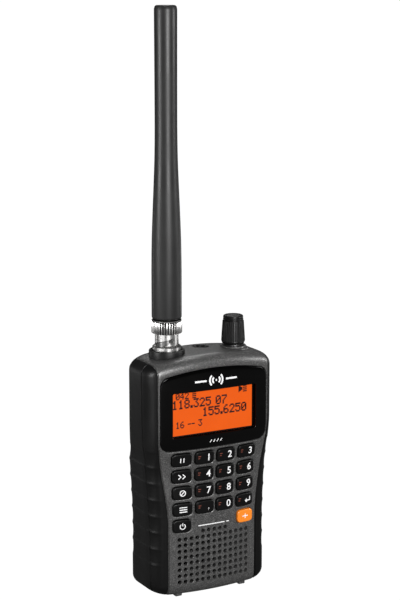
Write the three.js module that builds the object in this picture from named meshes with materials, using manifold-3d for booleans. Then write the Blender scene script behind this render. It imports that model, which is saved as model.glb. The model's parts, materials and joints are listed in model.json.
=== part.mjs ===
// Handheld radio scanner, modelled as an assembly of separate pieces.
// Millimetres, +Z up, the front face looks towards -Y and the keypad reads from -Y.
// The case stands on four small feet; the aerial fastens with a quarter-turn bayonet connector.
import * as THREE from "three";
import { mergeVertices } from "three/addons/utils/BufferGeometryUtils.js";
import Module from "manifold-3d";

const wasm = await Module();
wasm.setup();

// ---------------------------------------------------------------- driving dimensions

const GAP = 0.3; // space left between two pieces that touch
const BODY = {
  halfWidthTop: 33.4, // beside the display
  halfWidthBase: 31.2, // beside the speaker
  frontTop: -17.3, // front centre line, display
  frontBase: -15.75, // front centre line, keypad and speaker
  backTop: 12.8,
  backBase: 14.9, // the battery bay is deeper
  bowTop: 1 / 450, // the front is bowed: y rises by bow * x * x
  bowBase: 1 / 266,
  crown: 117, // highest point of the arched top
  crownBow: 1 / 300,
  floor: 1, // underside of the case, above the feet
  cornerX: 5.5, // front corner, across
  cornerY: 9.5, // front corner, front to back
  cornerBack: 7.5,
  wall: 2,
};
const ROUND_TOP = { x: 5.5, y: 5, z: 5 };
const ROUND_BASE = { x: 8, y: 3.2, z: 5.5 };
const RIB = { first: 16.8, pitch: 8, count: 7, depth: 0.4 }; // finger scallops down both sides
const SEAM = { top: 29.5, base: 23.6, low: 34, high: 84 }; // edge of the front panel, half width
const GRIP_BACK = { atTop: -5.5, atBase: -8.4 }; // back edge of the grips
const PANEL_BACK = { base: -7, top: 8, roof: 104 }; // how far the front panel reaches back
const FOOT = { x: 17.3, front: -10.6, back: 7.4, halfWidth: 1.75, halfDepth: 1.6 };
const AERIAL = { x: -17.9, y: -1.75 };
const CONNECTOR = { lugs: 123.2, mouth: 127, turn: 88, rise: 2.2, facing: 86 }; // a quarter turn locks it
const COLLAR = { base: 118.1, neck: 121.1, knurl: 126.6, top: 133.1, teeth: 18 };
const SLEEVE = { base: 133.4, tip: 277.5 };
const KNOB = { x: 17.9, y: -1.75, base: 117.7, top: 131.7, flutes: 18 };
const EARPHONE = { x: 2.8, y: 3.2 };
const POWER = { y: 2.4, z: 92 };
const LENS = { halfWidth: 28.3, base: 72.6, top: 111, corner: 4.5, back: -14.5 };
const WINDOW = { halfWidth: 22.2, base: 79, top: 100.4 };
const KEY = {
  top: 68, // height of the first row's centre
  rowPitch: 8.1,
  height: 6.3,
  corner: 1.5,
  proud: 0.9, // how far a cap stands out of the panel
  flangeFront: -11.6,
  back: -11,
  plungerBack: -10.6,
  clearance: 0.25,
};
const HOLE = { pitch: 3.02, radius: 0.95, sides: 4, columns: 13, rows: 8, top: 28.8, extra: 5 };
const SPEAKER_Z = 19.5; // height of the loudspeaker's centre
const CELL = { radius: 7.1, length: 48, pitch: 14.7, y: 5.4, base: 8.6 };
const COVER = { halfWidth: 23.4, top: 63, front: 12.9, tongue: 1.2 };
const TRAY = { halfWidth: 22.4, front: -3.3, base: 6.2, wall: 1.6, floor: 1.2 }; // battery bay
const CLIP = { halfWidth: 10, top: 104, plateBase: 74, armEnd: 46, gap: 6, plate: 2 };
const CLIP_SCREWS = [84, 98]; // heights
const CASE_SCREW = { x: 26, z: 99, headBack: 11.3 };

// ---------------------------------------------------------------- solids

function solidOf(geometry) {
  const bare = geometry.index ? geometry.toNonIndexed() : geometry.clone();
  for (const name of Object.keys(bare.attributes))
    if (name !== "position") bare.deleteAttribute(name);
  const merged = mergeVertices(bare, 1e-4);
  const triVerts = new Uint32Array(merged.index.array);
  const vertProperties = new Float32Array(merged.attributes.position.array);
  const made = new wasm.Manifold(new wasm.Mesh({ numProp: 3, vertProperties, triVerts }));
  if (made.volume() > 0) return made;
  for (let i = 0; i < triVerts.length; i += 3)
    [triVerts[i + 1], triVerts[i + 2]] = [triVerts[i + 2], triVerts[i + 1]];
  return new wasm.Manifold(new wasm.Mesh({ numProp: 3, vertProperties, triVerts }));
}

function geometryOf(solid) {
  const mesh = solid.getMesh();
  const positions = new Float32Array(mesh.triVerts.length * 3);
  mesh.triVerts.forEach((vertex, i) => {
    for (let k = 0; k < 3; k++)
      positions[3 * i + k] = mesh.vertProperties[mesh.numProp * vertex + k];
  });
  const geometry = new THREE.BufferGeometry();
  geometry.setAttribute("position", new THREE.BufferAttribute(positions, 3));
  geometry.computeVertexNormals();
  return geometry;
}

const join = (...solids) => solids.reduce((a, b) => a.add(b));

function box(x0, x1, y0, y1, z0, z1) {
  const geometry = new THREE.BoxGeometry(x1 - x0, y1 - y0, z1 - z0);
  geometry.translate((x0 + x1) / 2, (y0 + y1) / 2, (z0 + z1) / 2);
  return solidOf(geometry);
}

// A profile of [radius, z] pairs turned about the vertical line through x, y.
function turned(profile, x, y, segments = 16) {
  const points = profile.map(([radius, z]) => new THREE.Vector2(radius, z));
  const geometry = new THREE.LatheGeometry(points, segments);
  geometry.rotateX(Math.PI / 2);
  geometry.translate(x, y, 0);
  return solidOf(geometry);
}

// A profile of [radius, y] pairs turned about the front-to-back line through x, z.
function turnedY(profile, x, z, segments = 16) {
  const points = profile.map(([radius, y]) => new THREE.Vector2(radius, y));
  const geometry = new THREE.LatheGeometry(points, segments);
  geometry.translate(x, 0, z);
  return solidOf(geometry);
}

// A profile of [radius, x] pairs turned about the side-to-side line through y, z.
function turnedX(profile, y, z, segments = 16) {
  const points = profile.map(([radius, x]) => new THREE.Vector2(radius, x));
  const geometry = new THREE.LatheGeometry(points, segments);
  geometry.rotateZ(-Math.PI / 2);
  geometry.translate(0, y, z);
  return solidOf(geometry);
}

// An outline in x and z, pushed along y.
function prismY(shape, y0, y1, curveSegments = 3) {
  const options = { depth: y1 - y0, bevelEnabled: false, curveSegments };
  const geometry = new THREE.ExtrudeGeometry(shape, options);
  geometry.rotateX(Math.PI / 2);
  geometry.translate(0, y1, 0);
  return solidOf(geometry);
}

// An outline in y and z, pushed along x.
function prismX(shape, x0, x1, curveSegments = 4) {
  const options = { depth: x1 - x0, bevelEnabled: false, curveSegments };
  const geometry = new THREE.ExtrudeGeometry(shape, options);
  geometry.applyMatrix4(
    new THREE.Matrix4().makeBasis(
      new THREE.Vector3(0, 1, 0),
      new THREE.Vector3(0, 0, 1),
      new THREE.Vector3(1, 0, 0),
    ),
  );
  geometry.translate(x0, 0, 0);
  return solidOf(geometry);
}

// Rings of equally many points, lowest first, joined into one closed skin.
function loft(rings) {
  const count = rings[0].length;
  const middle = (ring) =>
    ring.reduce((sum, p) => sum.add(p), new THREE.Vector3()).divideScalar(count);
  const vertices = [...rings.flat(), middle(rings[0]), middle(rings.at(-1))];
  const low = rings.length * count;
  const last = (rings.length - 1) * count;
  const index = [];
  for (let j = 0; j < count; j++) {
    const next = (j + 1) % count;
    for (let i = 0; i < rings.length - 1; i++) {
      const [a, b] = [i * count + j, i * count + next];
      index.push(a, b, b + count, a, b + count, a + count);
    }
    index.push(low, next, j, low + 1, last + j, last + next);
  }
  const geometry = new THREE.BufferGeometry().setFromPoints(vertices);
  geometry.setIndex(index);
  return solidOf(geometry);
}

class Helix extends THREE.Curve {
  constructor(place, turns, radiusLow, radiusHigh, low, high) {
    super();
    Object.assign(this, { place, turns, radiusLow, radiusHigh, low, high });
  }
  getPoint(t, target = new THREE.Vector3()) {
    const angle = 2 * Math.PI * this.turns * t;
    const radius = THREE.MathUtils.lerp(this.radiusLow, this.radiusHigh, t);
    return target.set(
      this.place.x + radius * Math.cos(angle),
      this.place.y + radius * Math.sin(angle),
      THREE.MathUtils.lerp(this.low, this.high, t),
    );
  }
}

function wire(curve, radius, steps) {
  const section = new THREE.Shape();
  section.absarc(0, 0, radius, 0, 2 * Math.PI);
  const options = { steps, extrudePath: curve, curveSegments: 3 };
  return solidOf(new THREE.ExtrudeGeometry(section, options));
}

function roundedRectangle(x0, x1, z0, z1, radius) {
  const shape = new THREE.Shape();
  const quarter = Math.PI / 2;
  shape.absarc(x1 - radius, z1 - radius, radius, 0, quarter);
  shape.absarc(x0 + radius, z1 - radius, radius, quarter, 2 * quarter);
  shape.absarc(x0 + radius, z0 + radius, radius, 2 * quarter, 3 * quarter);
  shape.absarc(x1 - radius, z0 + radius, radius, 3 * quarter, 4 * quarter);
  return shape;
}

function polygon(points) {
  return new THREE.Shape(points.map(([u, v]) => new THREE.Vector2(u, v)));
}

// ---------------------------------------------------------------- the case's skin

const { lerp, smoothstep } = THREE.MathUtils;
const frontShare = (z) => smoothstep(z, 58, 84);
const sideShare = (z) => smoothstep(z, 30, 84);
const backShare = (z) => smoothstep(z, 62, 74);

const halfWidth = (z) => lerp(BODY.halfWidthBase, BODY.halfWidthTop, sideShare(z));
const frontCentre = (z) => lerp(BODY.frontBase, BODY.frontTop, frontShare(z));
const frontBow = (z) => lerp(BODY.bowBase, BODY.bowTop, frontShare(z));
const frontAt = (x, z) => frontCentre(z) + frontBow(z) * x * x;
const backAt = (z) => lerp(BODY.backBase, BODY.backTop, backShare(z));
const crownAt = (x) => BODY.crown - BODY.crownBow * x * x;
const seamAt = (z) => lerp(SEAM.base, SEAM.top, smoothstep(z, SEAM.low, SEAM.high));

// The outline of the case at height z, counter-clockwise from the front centre; inside sets the
// cavity's outline instead, which is flat behind the display.
function outline(z, inside) {
  const wall = inside ? BODY.wall : 0;
  const a = halfWidth(z) - wall;
  const back = backAt(z) - wall;
  const centre = inside ? lerp(BODY.frontBase + wall, -13.1, frontShare(z)) : frontCentre(z);
  const bow = inside ? lerp(BODY.bowBase, 0, frontShare(z)) : frontBow(z);
  const [cornerX, cornerY] = [BODY.cornerX - wall / 2, BODY.cornerY - wall];
  const radius = BODY.cornerBack - wall;
  const straight = a - cornerX;
  const edge = centre + bow * straight * straight;
  const right = [];
  for (const share of [0, 0.35, 0.7]) {
    const x = straight * share;
    right.push([x, centre + bow * x * x]);
  }
  for (let i = 0; i <= 4; i++) {
    const turn = (Math.PI / 2) * (i / 4);
    right.push([straight + cornerX * Math.sin(turn), edge + cornerY * (1 - Math.cos(turn))]);
  }
  for (let i = 0; i <= 3; i++) {
    const turn = (Math.PI / 2) * (i / 3);
    right.push([a - radius * (1 - Math.cos(turn)), back - radius * (1 - Math.sin(turn))]);
  }
  right.push([0, back]);
  const left = right.slice(1, -1).reverse();
  return [...right, ...left.map(([x, y]) => [-x, y])];
}

// The skin's rings: rounded underneath, straight sides, then rounded over to the arched top.
function skin(inside) {
  const wall = inside ? BODY.wall : 0;
  const floor = BODY.floor + wall;
  const under = { x: ROUND_BASE.x - wall, y: ROUND_BASE.y - wall, z: ROUND_BASE.z - wall };
  const over = { x: ROUND_TOP.x - wall, y: ROUND_TOP.y - wall, z: ROUND_TOP.z - wall };
  const rings = [];
  const ring = (z, insetX, insetY, height) => {
    const points = outline(z, inside);
    const a = halfWidth(z) - wall;
    const middle = (frontCentre(z) + backAt(z)) / 2;
    const depth = (backAt(z) - frontCentre(z)) / 2 - wall;
    rings.push(
      points.map(([x, y]) => {
        const px = x * (1 - insetX / a);
        const py = middle + (y - middle) * (1 - insetY / depth);
        return new THREE.Vector3(px, py, height(px));
      }),
    );
  };
  const steps = inside ? 2 : 3;
  for (let i = 0; i < steps; i++) {
    const turn = (Math.PI / 2) * (i / steps);
    const [out, up] = [1 - Math.sin(turn), 1 - Math.cos(turn)];
    ring(floor + under.z, under.x * out, under.y * out, () => floor + under.z * up);
  }
  for (const z of [floor + under.z, 34, 48, 58, 66, 74, 84]) ring(z, 0, 0, () => z);
  for (let i = 0; i <= steps; i++) {
    const turn = (Math.PI / 2) * (i / steps);
    const [out, down] = [1 - Math.cos(turn), 1 - Math.sin(turn)];
    ring(100, over.x * out, over.y * out, (x) => crownAt(x) - wall - over.z * down);
  }
  for (const share of [0.7, 0.35]) {
    const last = rings[rings.length - (share === 0.7 ? 1 : 2)];
    const y0 = (BODY.frontTop + BODY.backTop) / 2;
    rings.push(
      last.map((p) => {
        const x = p.x * share;
        return new THREE.Vector3(x, y0 + (p.y - y0) * share, crownAt(x) - wall);
      }),
    );
  }
  return loft(rings);
}

// Finger scallops pressed into both sides, which leave a ridge between each two.
function scallops() {
  const cutters = [];
  const half = RIB.pitch / 2;
  for (let i = 0; i < RIB.count; i++) {
    const z = RIB.first + RIB.pitch * (i + 0.5);
    const [low, high] = [halfWidth(z - half), halfWidth(z + half)];
    const out = high + 3;
    const shape = polygon([[high, z + half], [out, z + half], [out, z - half], [low, z - half]]);
    shape.quadraticCurveTo(low - 2 * RIB.depth, z, high, z + half);
    const right = prismY(shape, -30, 30);
    cutters.push(right, right.mirror([1, 0, 0]));
  }
  return join(...cutters);
}

// The band |x| < seam - inset, seen from the front.
function frontBand(inset, y0, y1) {
  const right = [];
  for (let z = -4; z <= 124; z += z >= SEAM.low && z < SEAM.high ? 6.25 : 38)
    right.push([seamAt(z) - inset, z]);
  const left = right.map(([x, z]) => [-x, z]).reverse();
  return prismY(polygon([...right, ...left]), y0, y1);
}

// Everything in front of the grips' back edge.
function aheadOfGripBack(shift) {
  const slope = (GRIP_BACK.atTop - GRIP_BACK.atBase) / 100;
  const at = (z) => GRIP_BACK.atBase + slope * (z - 10) + shift;
  return prismX(polygon([[-30, -4], [at(-4), -4], [at(124), 124], [-30, 124]]), -40, 40);
}

// The front panel's share of the shell: the whole front between the grips, and the top.
function panelRegion(inset) {
  const front = frontBand(inset, -30, PANEL_BACK.base - inset);
  const top = frontBand(inset, -30, PANEL_BACK.top - inset);
  return front.add(top.intersect(box(-40, 40, -30, 30, PANEL_BACK.roof + inset, 124)));
}

// ---------------------------------------------------------------- keypad layout

const KEY_NAMES = [
  ["key_hold", "key_1", "key_2", "key_3"],
  ["key_scan", "key_4", "key_5", "key_6"],
  ["key_lockout", "key_7", "key_8", "key_9"],
  ["key_menu", "key_point", "key_0", "key_enter"],
  ["key_power", null, null, "key_function"],
];

// The columns draw in a little row by row, as the panel narrows.
function keyPlaces() {
  const places = [];
  KEY_NAMES.forEach((names, row) =>
    names.forEach((name, column) => {
      if (!name) return;
      const outer = row === 4 ? 17 : 17.5 - 0.28 * row;
      const inner = 5.75 - 0.13 * row;
      const x = [-outer, -inner, inner, outer][column];
      const width = row === 4 ? 8.8 : 9.8 - 0.13 * row;
      places.push({ name, x, z: KEY.top - KEY.rowPitch * row, width });
    }),
  );
  return places;
}

function keyPrism({ x, z, width }, grow, y0, y1) {
  const [w, h] = [width / 2 + grow, KEY.height / 2 + grow];
  return prismY(roundedRectangle(x - w, x + w, z - h, z + h, KEY.corner + grow), y0, y1, 1);
}

function keySolid(place) {
  const capFront = frontAt(place.x, place.z) - KEY.proud;
  const { x, z, width } = place;
  const cap = keyPrism(place, 0, capFront, KEY.back);
  const [w, h] = [width / 2 + 0.5, KEY.height / 2 + 0.5];
  const flange = box(x - w, x + w, KEY.flangeFront, KEY.back, z - h, z + h);
  const plunger = box(x - 1.2, x + 1.2, KEY.back - 0.1, KEY.plungerBack, z - 1.2, z + 1.2);
  return join(cap, flange, plunger);
}

// ---------------------------------------------------------------- shells

function lensOutline(grow) {
  const { halfWidth: w, base, top, corner } = LENS;
  const shape = new THREE.Shape();
  const [x, low, radius] = [w + grow, base - grow, corner + grow];
  const shoulder = top + grow - 2.6;
  shape.absarc(x - radius, low + radius, radius, -Math.PI / 2, 0);
  shape.absarc(x - radius, shoulder - radius, radius, 0, Math.PI / 2 - 0.1);
  shape.quadraticCurveTo(0, top + grow + 2.2, -(x - radius) + 0.2, shoulder);
  shape.absarc(radius - x, shoulder - radius, radius, Math.PI / 2 + 0.1, Math.PI);
  shape.absarc(radius - x, low + radius, radius, Math.PI, 1.5 * Math.PI);
  return shape;
}

function grilleHoles() {
  const holes = [];
  const half = (HOLE.columns - 1) / 2;
  for (let row = -1; row < HOLE.rows; row++)
    for (let column = -half; column <= half; column++) {
      if (row < 0 && Math.abs(column) > (HOLE.extra - 1) / 2) continue;
      const [x, z] = [column * HOLE.pitch, HOLE.top - row * HOLE.pitch];
      const hole = new THREE.CylinderGeometry(HOLE.radius, HOLE.radius, 8, HOLE.sides);
      hole.translate(x, -14, z);
      holes.push(solidOf(hole));
    }
  return join(...holes);
}

function foot(x, y) {
  const { halfWidth: w, halfDepth: d } = FOOT;
  return box(x - w, x + w, y - d, y + d, 0, BODY.floor + 1.4);
}

const roundHole = (radius, place) =>
  turned([[0, 106], [radius, 106], [radius, 120], [0, 120]], place.x, place.y, 20);

function frontPanel(shell) {
  const boss = [[0, 113.5], [6.4, 113.5], [6.4, 116.6], [5.9, 117.1], [0, 117.1]];
  let panel = shell.intersect(panelRegion(GAP / 2));
  const feet = foot(-FOOT.x, FOOT.front).add(foot(FOOT.x, FOOT.front));
  panel = join(panel, turned(boss, KNOB.x, KNOB.y), feet);
  const pocket = prismY(lensOutline(0.2), -20, LENS.back + GAP);
  const windowHole = box(-24.6, 24.6, -16, -10, WINDOW.base - 2.4, WINDOW.top + 2.4);
  panel = panel.subtract(pocket).subtract(windowHole).subtract(grilleHoles());
  for (const place of keyPlaces()) panel = panel.subtract(keyPrism(place, KEY.clearance, -20, -8));
  const holes = join(roundHole(3.7, KNOB), roundHole(4.1, EARPHONE), roundHole(6.9, AERIAL));
  return largest(panel.subtract(holes));
}

// Cutting can leave crumbs; the piece is its largest body.
function largest(solid) {
  return solid.decompose().sort((a, b) => b.volume() - a.volume())[0];
}

// The battery bay: an open tray behind the cover.
function batteryTray() {
  const { halfWidth: w, front, base, wall, floor } = TRAY;
  const roof = COVER.top - 2.2;
  const block = box(-w - wall, w + wall, front, 13.2, base - wall, roof + wall);
  return block.subtract(box(-w, w, front + floor, 20, base, roof));
}

// What the cover takes out of the rear case: its own opening, and a groove for its tongues.
function coverOpening() {
  const w = COVER.halfWidth + GAP;
  const groove = w + COVER.tongue;
  const top = COVER.top + GAP;
  const opening = box(-w, w, COVER.front - GAP, 20, -1, top);
  return opening.add(box(-groove, groove, 13.2, 14.4, -1, top));
}

function rearCase(shell, outer) {
  const besidePanel = frontBand(0, -40, 40);
  let piece = shell.subtract(panelRegion(-GAP / 2));
  piece = piece.subtract(aheadOfGripBack(GAP / 2).subtract(besidePanel));
  const clipPost = [[0, 4], [3, 4], [3, 11.5], [0, 11.5]];
  const clipHole = [[0, 5], [1.3, 5], [1.3, 14], [0, 14]];
  const caseHole = [[0, 3], [1.3, 3], [1.3, 9.6], [2.9, 9.6], [2.9, 14], [0, 14]];
  const feet = foot(-FOOT.x, FOOT.back).add(foot(FOOT.x, FOOT.back));
  piece = join(piece, batteryTray().intersect(outer), feet);
  for (const z of CLIP_SCREWS) piece = piece.add(turnedY(clipPost, 0, z, 10));
  for (const x of [-CASE_SCREW.x, CASE_SCREW.x])
    piece = piece.add(box(x - 3, x + 3, 2, 11.5, CASE_SCREW.z - 3, CASE_SCREW.z + 3));
  piece = piece.subtract(coverOpening());
  for (const z of CLIP_SCREWS) piece = piece.subtract(turnedY(clipHole, 0, z, 10));
  for (const x of [-CASE_SCREW.x, CASE_SCREW.x])
    piece = piece.subtract(turnedY(caseHole, x, CASE_SCREW.z, 12));
  const powerHole = turnedX([[0, 26], [3.6, 26], [3.6, 36], [0, 36]], POWER.y, POWER.z);
  return largest(piece.subtract(powerHole));
}

function grip(shell, side) {
  const beside = box(side < 0 ? -40 : 0, side < 0 ? 0 : 40, -30, 30, -4, 124);
  const piece = shell.intersect(aheadOfGripBack(-GAP / 2)).intersect(beside);
  return largest(piece.subtract(frontBand(-GAP / 2, -40, 40)));
}

function batteryCover(outer) {
  const w = COVER.halfWidth;
  const slab = outer.intersect(box(-w, w, COVER.front, 20, -1, COVER.top));
  const tongueReach = w + COVER.tongue;
  const tongues = box(-tongueReach, tongueReach, 13.5, 14.1, 8, COVER.top - 1);
  const thumbSlot = (z) => box(-7, 7, 14.5, 16, z, z + 1.2);
  const thumbGrip = [50, 52.4, 54.8, 57.2].map(thumbSlot);
  return join(slab, tongues.intersect(outer)).subtract(join(...thumbGrip));
}

// ---------------------------------------------------------------- display, boards and speaker

function lcdFrame() {
  const { halfWidth: w, base, top } = WINDOW;
  return box(-25.4, 25.4, -12.5, -9.4, 76, 104)
    .subtract(box(-w, w, -14, -12, base, top))
    .subtract(box(-24.6, 24.6, -12.35, -9, 77, 102.5));
}

function board(x, y0, y1, z0, z1, holes) {
  const hole = [[0, y0 - 1], [1.4, y0 - 1], [1.4, y1 + 1], [0, y1 + 1]];
  let piece = box(-x, x, y0, y1, z0, z1);
  for (const [holeX, holeZ] of holes) piece = piece.subtract(turnedY(hole, holeX, holeZ, 8));
  return piece;
}

function speakerBasket() {
  const outside = [[10.6, -11.6], [13, -11.6], [13, -10.4], [10.9, -10.4], [7.6, -7]];
  const inside = [[4.2, -7], [4.2, -7.8], [7.2, -7.8], [10.6, -11.6]];
  return turnedY([...outside, ...inside], 0, SPEAKER_Z);
}

function speakerCone() {
  const profile = [[0, -9.6], [2.6, -9.2], [10.2, -11.2], [10.2, -11.5], [2.6, -9.9], [0, -10.3]];
  return turnedY(profile, 0, SPEAKER_Z);
}

const speakerCloth = () =>
  turnedY([[0, -12.5], [12, -12.5], [12, -12.1], [0, -12.1]], 0, SPEAKER_Z);
const speakerMagnet = () => turnedY([[0, -6.7], [8, -6.7], [8, -3.7], [0, -3.7]], 0, SPEAKER_Z);

// ---------------------------------------------------------------- aerial and its connector

// A trim ring that sits on the arched top and hides the jack's nut.
function aerialBaseRing(outer) {
  const outside = [[6.5, 114.4], [8.5, 114.4], [8.5, 118.2], [8.1, 118.7], [7.4, 118.7]];
  const inside = [[7.4, 117.4], [6.5, 117.4], [6.5, 114.4]];
  const ring = turned([...outside, ...inside], AERIAL.x, AERIAL.y, 24);
  return ring.subtract(outer.translate([0, 0, GAP]));
}

function aerialJack() {
  const profile = [[0, 103], [4.4, 103], [4.4, 116.4], [6.2, 116.7], [6.2, 117.7], [4.75, 117.7]];
  const bore = [[4.75, CONNECTOR.mouth], [4.1, CONNECTOR.mouth], [4.1, 118.6], [0, 118.6]];
  const barrel = turned([...profile, ...bore], AERIAL.x, AERIAL.y);
  const lug = turnedX([[0, 4.4], [0.95, 4.4], [0.95, 5.6], [0, 5.6]], 0, CONNECTOR.lugs, 8);
  const lugs = lug.add(lug.rotate([0, 0, 180])).rotate([0, 0, CONNECTOR.facing]);
  return barrel.add(lugs.translate([AERIAL.x, AERIAL.y, 0]));
}

// The slots that the jack's lugs run in: straight in from below, then a quarter turn up a ramp.
function bayonetSlots() {
  const half = 1.25;
  const parts = [];
  const steps = 6;
  const at = (share) => {
    const wedge = box(4.3, 7.4, -half, half, CONNECTOR.lugs - half, CONNECTOR.lugs + half);
    return wedge.translate([0, 0, -CONNECTOR.rise * share]).rotate([0, 0, -CONNECTOR.turn * share]);
  };
  for (let i = 0; i < steps; i++)
    parts.push(wasm.Manifold.hull([at(i / steps), at((i + 1) / steps)]));
  const entry = box(4.3, 6.1, -half, half, COLLAR.base - 2, CONNECTOR.lugs - CONNECTOR.rise);
  parts.push(entry.rotate([0, 0, -CONNECTOR.turn]));
  const one = join(...parts).intersect(turned([[0, 110], [7.3, 110], [7.3, 125], [0, 125]], 0, 0, 24));
  return one.add(one.rotate([0, 0, 180]));
}

function bayonetCollar() {
  const { base, neck, knurl, top, teeth } = COLLAR;
  const shape = new THREE.Shape();
  for (let i = 0; i < 4 * teeth; i++) {
    const radius = [6.7, 6.7, 7.2, 7.2][i % 4];
    const angle = (2 * Math.PI * (i + 0.5)) / (4 * teeth);
    const point = [radius * Math.cos(angle), radius * Math.sin(angle)];
    if (i > 0) shape.lineTo(...point);
    else shape.moveTo(...point);
  }
  const grip = new THREE.ExtrudeGeometry(shape, { depth: top - 1.3 - knurl, bevelEnabled: false });
  grip.translate(0, 0, knurl);
  const rim = [[0, top - 1.4], [7.1, top - 1.4], [7.1, top - 0.5], [6.7, top], [0, top]];
  const foot = [[0, base], [6.6, base], [6.8, base + 0.5], [6.8, neck - 0.8]];
  const tube = [...foot, [5.55, neck], [5.55, knurl + 0.1], [0, knurl + 0.1]];
  const hollow = [[0, 110], [5.05, 110], [5.05, 129.6], [4.2, 129.6], [4.2, 140], [0, 140]];
  const body = join(turned(tube, 0, 0, 24), solidOf(grip), turned(rim, 0, 0, 24));
  const bore = turned(hollow, 0, 0, 20);
  const collar = body.subtract(bore).subtract(bayonetSlots()).rotate([0, 0, CONNECTOR.facing]);
  return collar.translate([AERIAL.x, AERIAL.y, 0]);
}

function aerialPlug() {
  const outside = [[3.2, 120.4], [3.85, 120.4], [3.85, 127.4], [4.8, 127.4], [4.8, 128.6], [3.9, 128.6]];
  const inside = [[3.9, 138], [1.5, 138], [1.5, 128.8], [3.2, 128.8], [3.2, 120.4]];
  return turned([...outside, ...inside], AERIAL.x, AERIAL.y);
}

function plugPin() {
  const tip = [[0, 119.6], [0.65, 119.9], [0.65, 123], [2.4, 123], [2.4, 126.5]];
  return turned([...tip, [1.2, 126.5], [1.2, 141], [0, 141]], AERIAL.x, AERIAL.y, 10);
}

function springWasher() {
  const profile = [[4.2, 128.9], [4.9, 128.9], [4.9, 129.3], [4.2, 129.3], [4.2, 128.9]];
  return turned(profile, AERIAL.x, AERIAL.y);
}

// The rubber sleeve: a straight root, a long taper, and a slim upper half.
function aerialSleeve() {
  const { base, tip } = SLEEVE;
  const root = [[5.9, base], [6.7, base + 0.3], [7.05, base + 1.2], [7.05, 156], [6.85, 170]];
  const taper = [[6.35, 184], [5.8, 197], [5.4, 208], [5.22, 220], [5.2, 236]];
  const end = [[5.3, tip - 2], [4.9, tip - 0.6], [4.2, tip], [0, tip]];
  const inside = [[0, 268], [3.5, 268], [3.5, 139.5], [4.1, 139.5], [4.1, base], [5.9, base]];
  return turned([...root, ...taper, ...end, ...inside], AERIAL.x, AERIAL.y, 18);
}

// ---------------------------------------------------------------- tuning knob and its encoder

function tuningKnob() {
  const { base, top, flutes } = KNOB;
  const ring = (z, radius, depth) => {
    const points = [];
    for (let i = 0; i < 2 * flutes; i++) {
      const angle = (Math.PI * i) / flutes;
      const r = radius - (i % 2 ? depth : 0);
      points.push(new THREE.Vector3(r * Math.cos(angle), r * Math.sin(angle), z));
    }
    return points;
  };
  const rings = [ring(base, 4.9, 0), ring(base + 1.6, 5.7, 0.25), ring(top - 2, 5, 0.25)];
  rings.push(ring(top - 1.2, 4.9, 0), ring(top - 0.3, 4.6, 0), ring(top, 3.9, 0));
  const hollow = [[0, 110], [4.6, 110], [4.6, 120.4], [3.1, 120.4], [3.1, 128.6], [0, 128.6]];
  return loft(rings).subtract(turned(hollow, 0, 0, 16)).translate([KNOB.x, KNOB.y, 0]);
}

function encoderHousing() {
  const { x, y } = KNOB;
  const can = box(x - 5.6, x + 5.6, y - 5.2, y + 5.2, 105.6, 112.4);
  const bush = turned([[0, 112], [3.4, 112], [3.4, 118.6], [0, 118.6]], x, y, 16);
  return join(can, bush).subtract(turned([[0, 107], [2.9, 107], [2.9, 121], [0, 121]], x, y, 16));
}

// ---------------------------------------------------------------- jacks, clip and fasteners

function earphoneJack() {
  const profile = [[0, 103], [3.8, 103], [3.8, 117.1], [1.8, 117.1], [1.8, 104.5], [0, 104.5]];
  return turned(profile, EARPHONE.x, EARPHONE.y, 16);
}

function powerJack() {
  const edge = BODY.halfWidthTop - 0.4;
  const outside = [[0, 23], [3.3, 23], [3.3, edge], [2.6, edge]];
  const inside = [[2.6, 24.5], [0.8, 24.5], [0.8, edge - 2], [0, edge - 2]];
  return turnedX([...outside, ...inside], POWER.y, POWER.z);
}

// A spring clip in one moulding: a plate against the back, a hairpin at the top, and a long arm.
function beltClip() {
  const { halfWidth: w, top, plateBase, armEnd, gap, plate } = CLIP;
  const inner = BODY.backTop + GAP;
  const reach = inner + plate + gap;
  const bend = (reach - inner - plate) / 2;
  const middle = inner + plate + bend;
  const shape = new THREE.Shape();
  shape.moveTo(inner, plateBase);
  shape.lineTo(inner + plate, plateBase);
  shape.lineTo(inner + plate, top - bend - plate);
  shape.absarc(middle, top - bend - plate, bend, Math.PI, 0, true);
  shape.lineTo(reach, armEnd + 8);
  shape.lineTo(reach - 1.6, armEnd + 3);
  shape.lineTo(reach + 0.6, armEnd);
  shape.lineTo(reach + 1.4, armEnd + 3);
  shape.lineTo(reach + 2, armEnd + 9);
  shape.lineTo(reach + 2, top - bend - plate);
  shape.absarc(middle, top - bend - plate, bend + plate, 0, Math.PI);
  let clip = prismX(shape, -w, w, 6);
  const hole = [[0, 10], [1.4, 10], [1.4, inner + 0.7], [2.8, inner + 0.7], [2.8, 30], [0, 30]];
  for (const z of CLIP_SCREWS) clip = clip.subtract(turnedY(hole, 0, z, 10));
  return clip;
}

// A screw with a cross recess, whose head is at the back.
function screw({ x, z, headBack, headRadius, headDepth, length }) {
  const under = headBack - headDepth;
  const shaft = [[0, under - length], [1, under - length], [1, under]];
  const head = [[headRadius, under], [headRadius, headBack], [0, headBack]];
  const reach = headRadius * 0.6;
  const slot = box(-reach, reach, headBack - 0.5, headBack + 1, -0.25, 0.25);
  const cross = slot.add(slot.rotate([0, 90, 0])).translate([x, 0, z]);
  return turnedY([...shaft, ...head], x, z, 12).subtract(cross);
}

function cell(x) {
  const { radius, length, y, base } = CELL;
  const top = base + length;
  const lower = [[0, base], [radius - 0.6, base], [radius, base + 0.6]];
  const upper = [[radius, top - 0.6], [radius - 0.6, top], [2.7, top]];
  return turned([...lower, ...upper, [2.7, top + 1.6], [0, top + 1.6]], x, y);
}

// ---------------------------------------------------------------- materials

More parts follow.
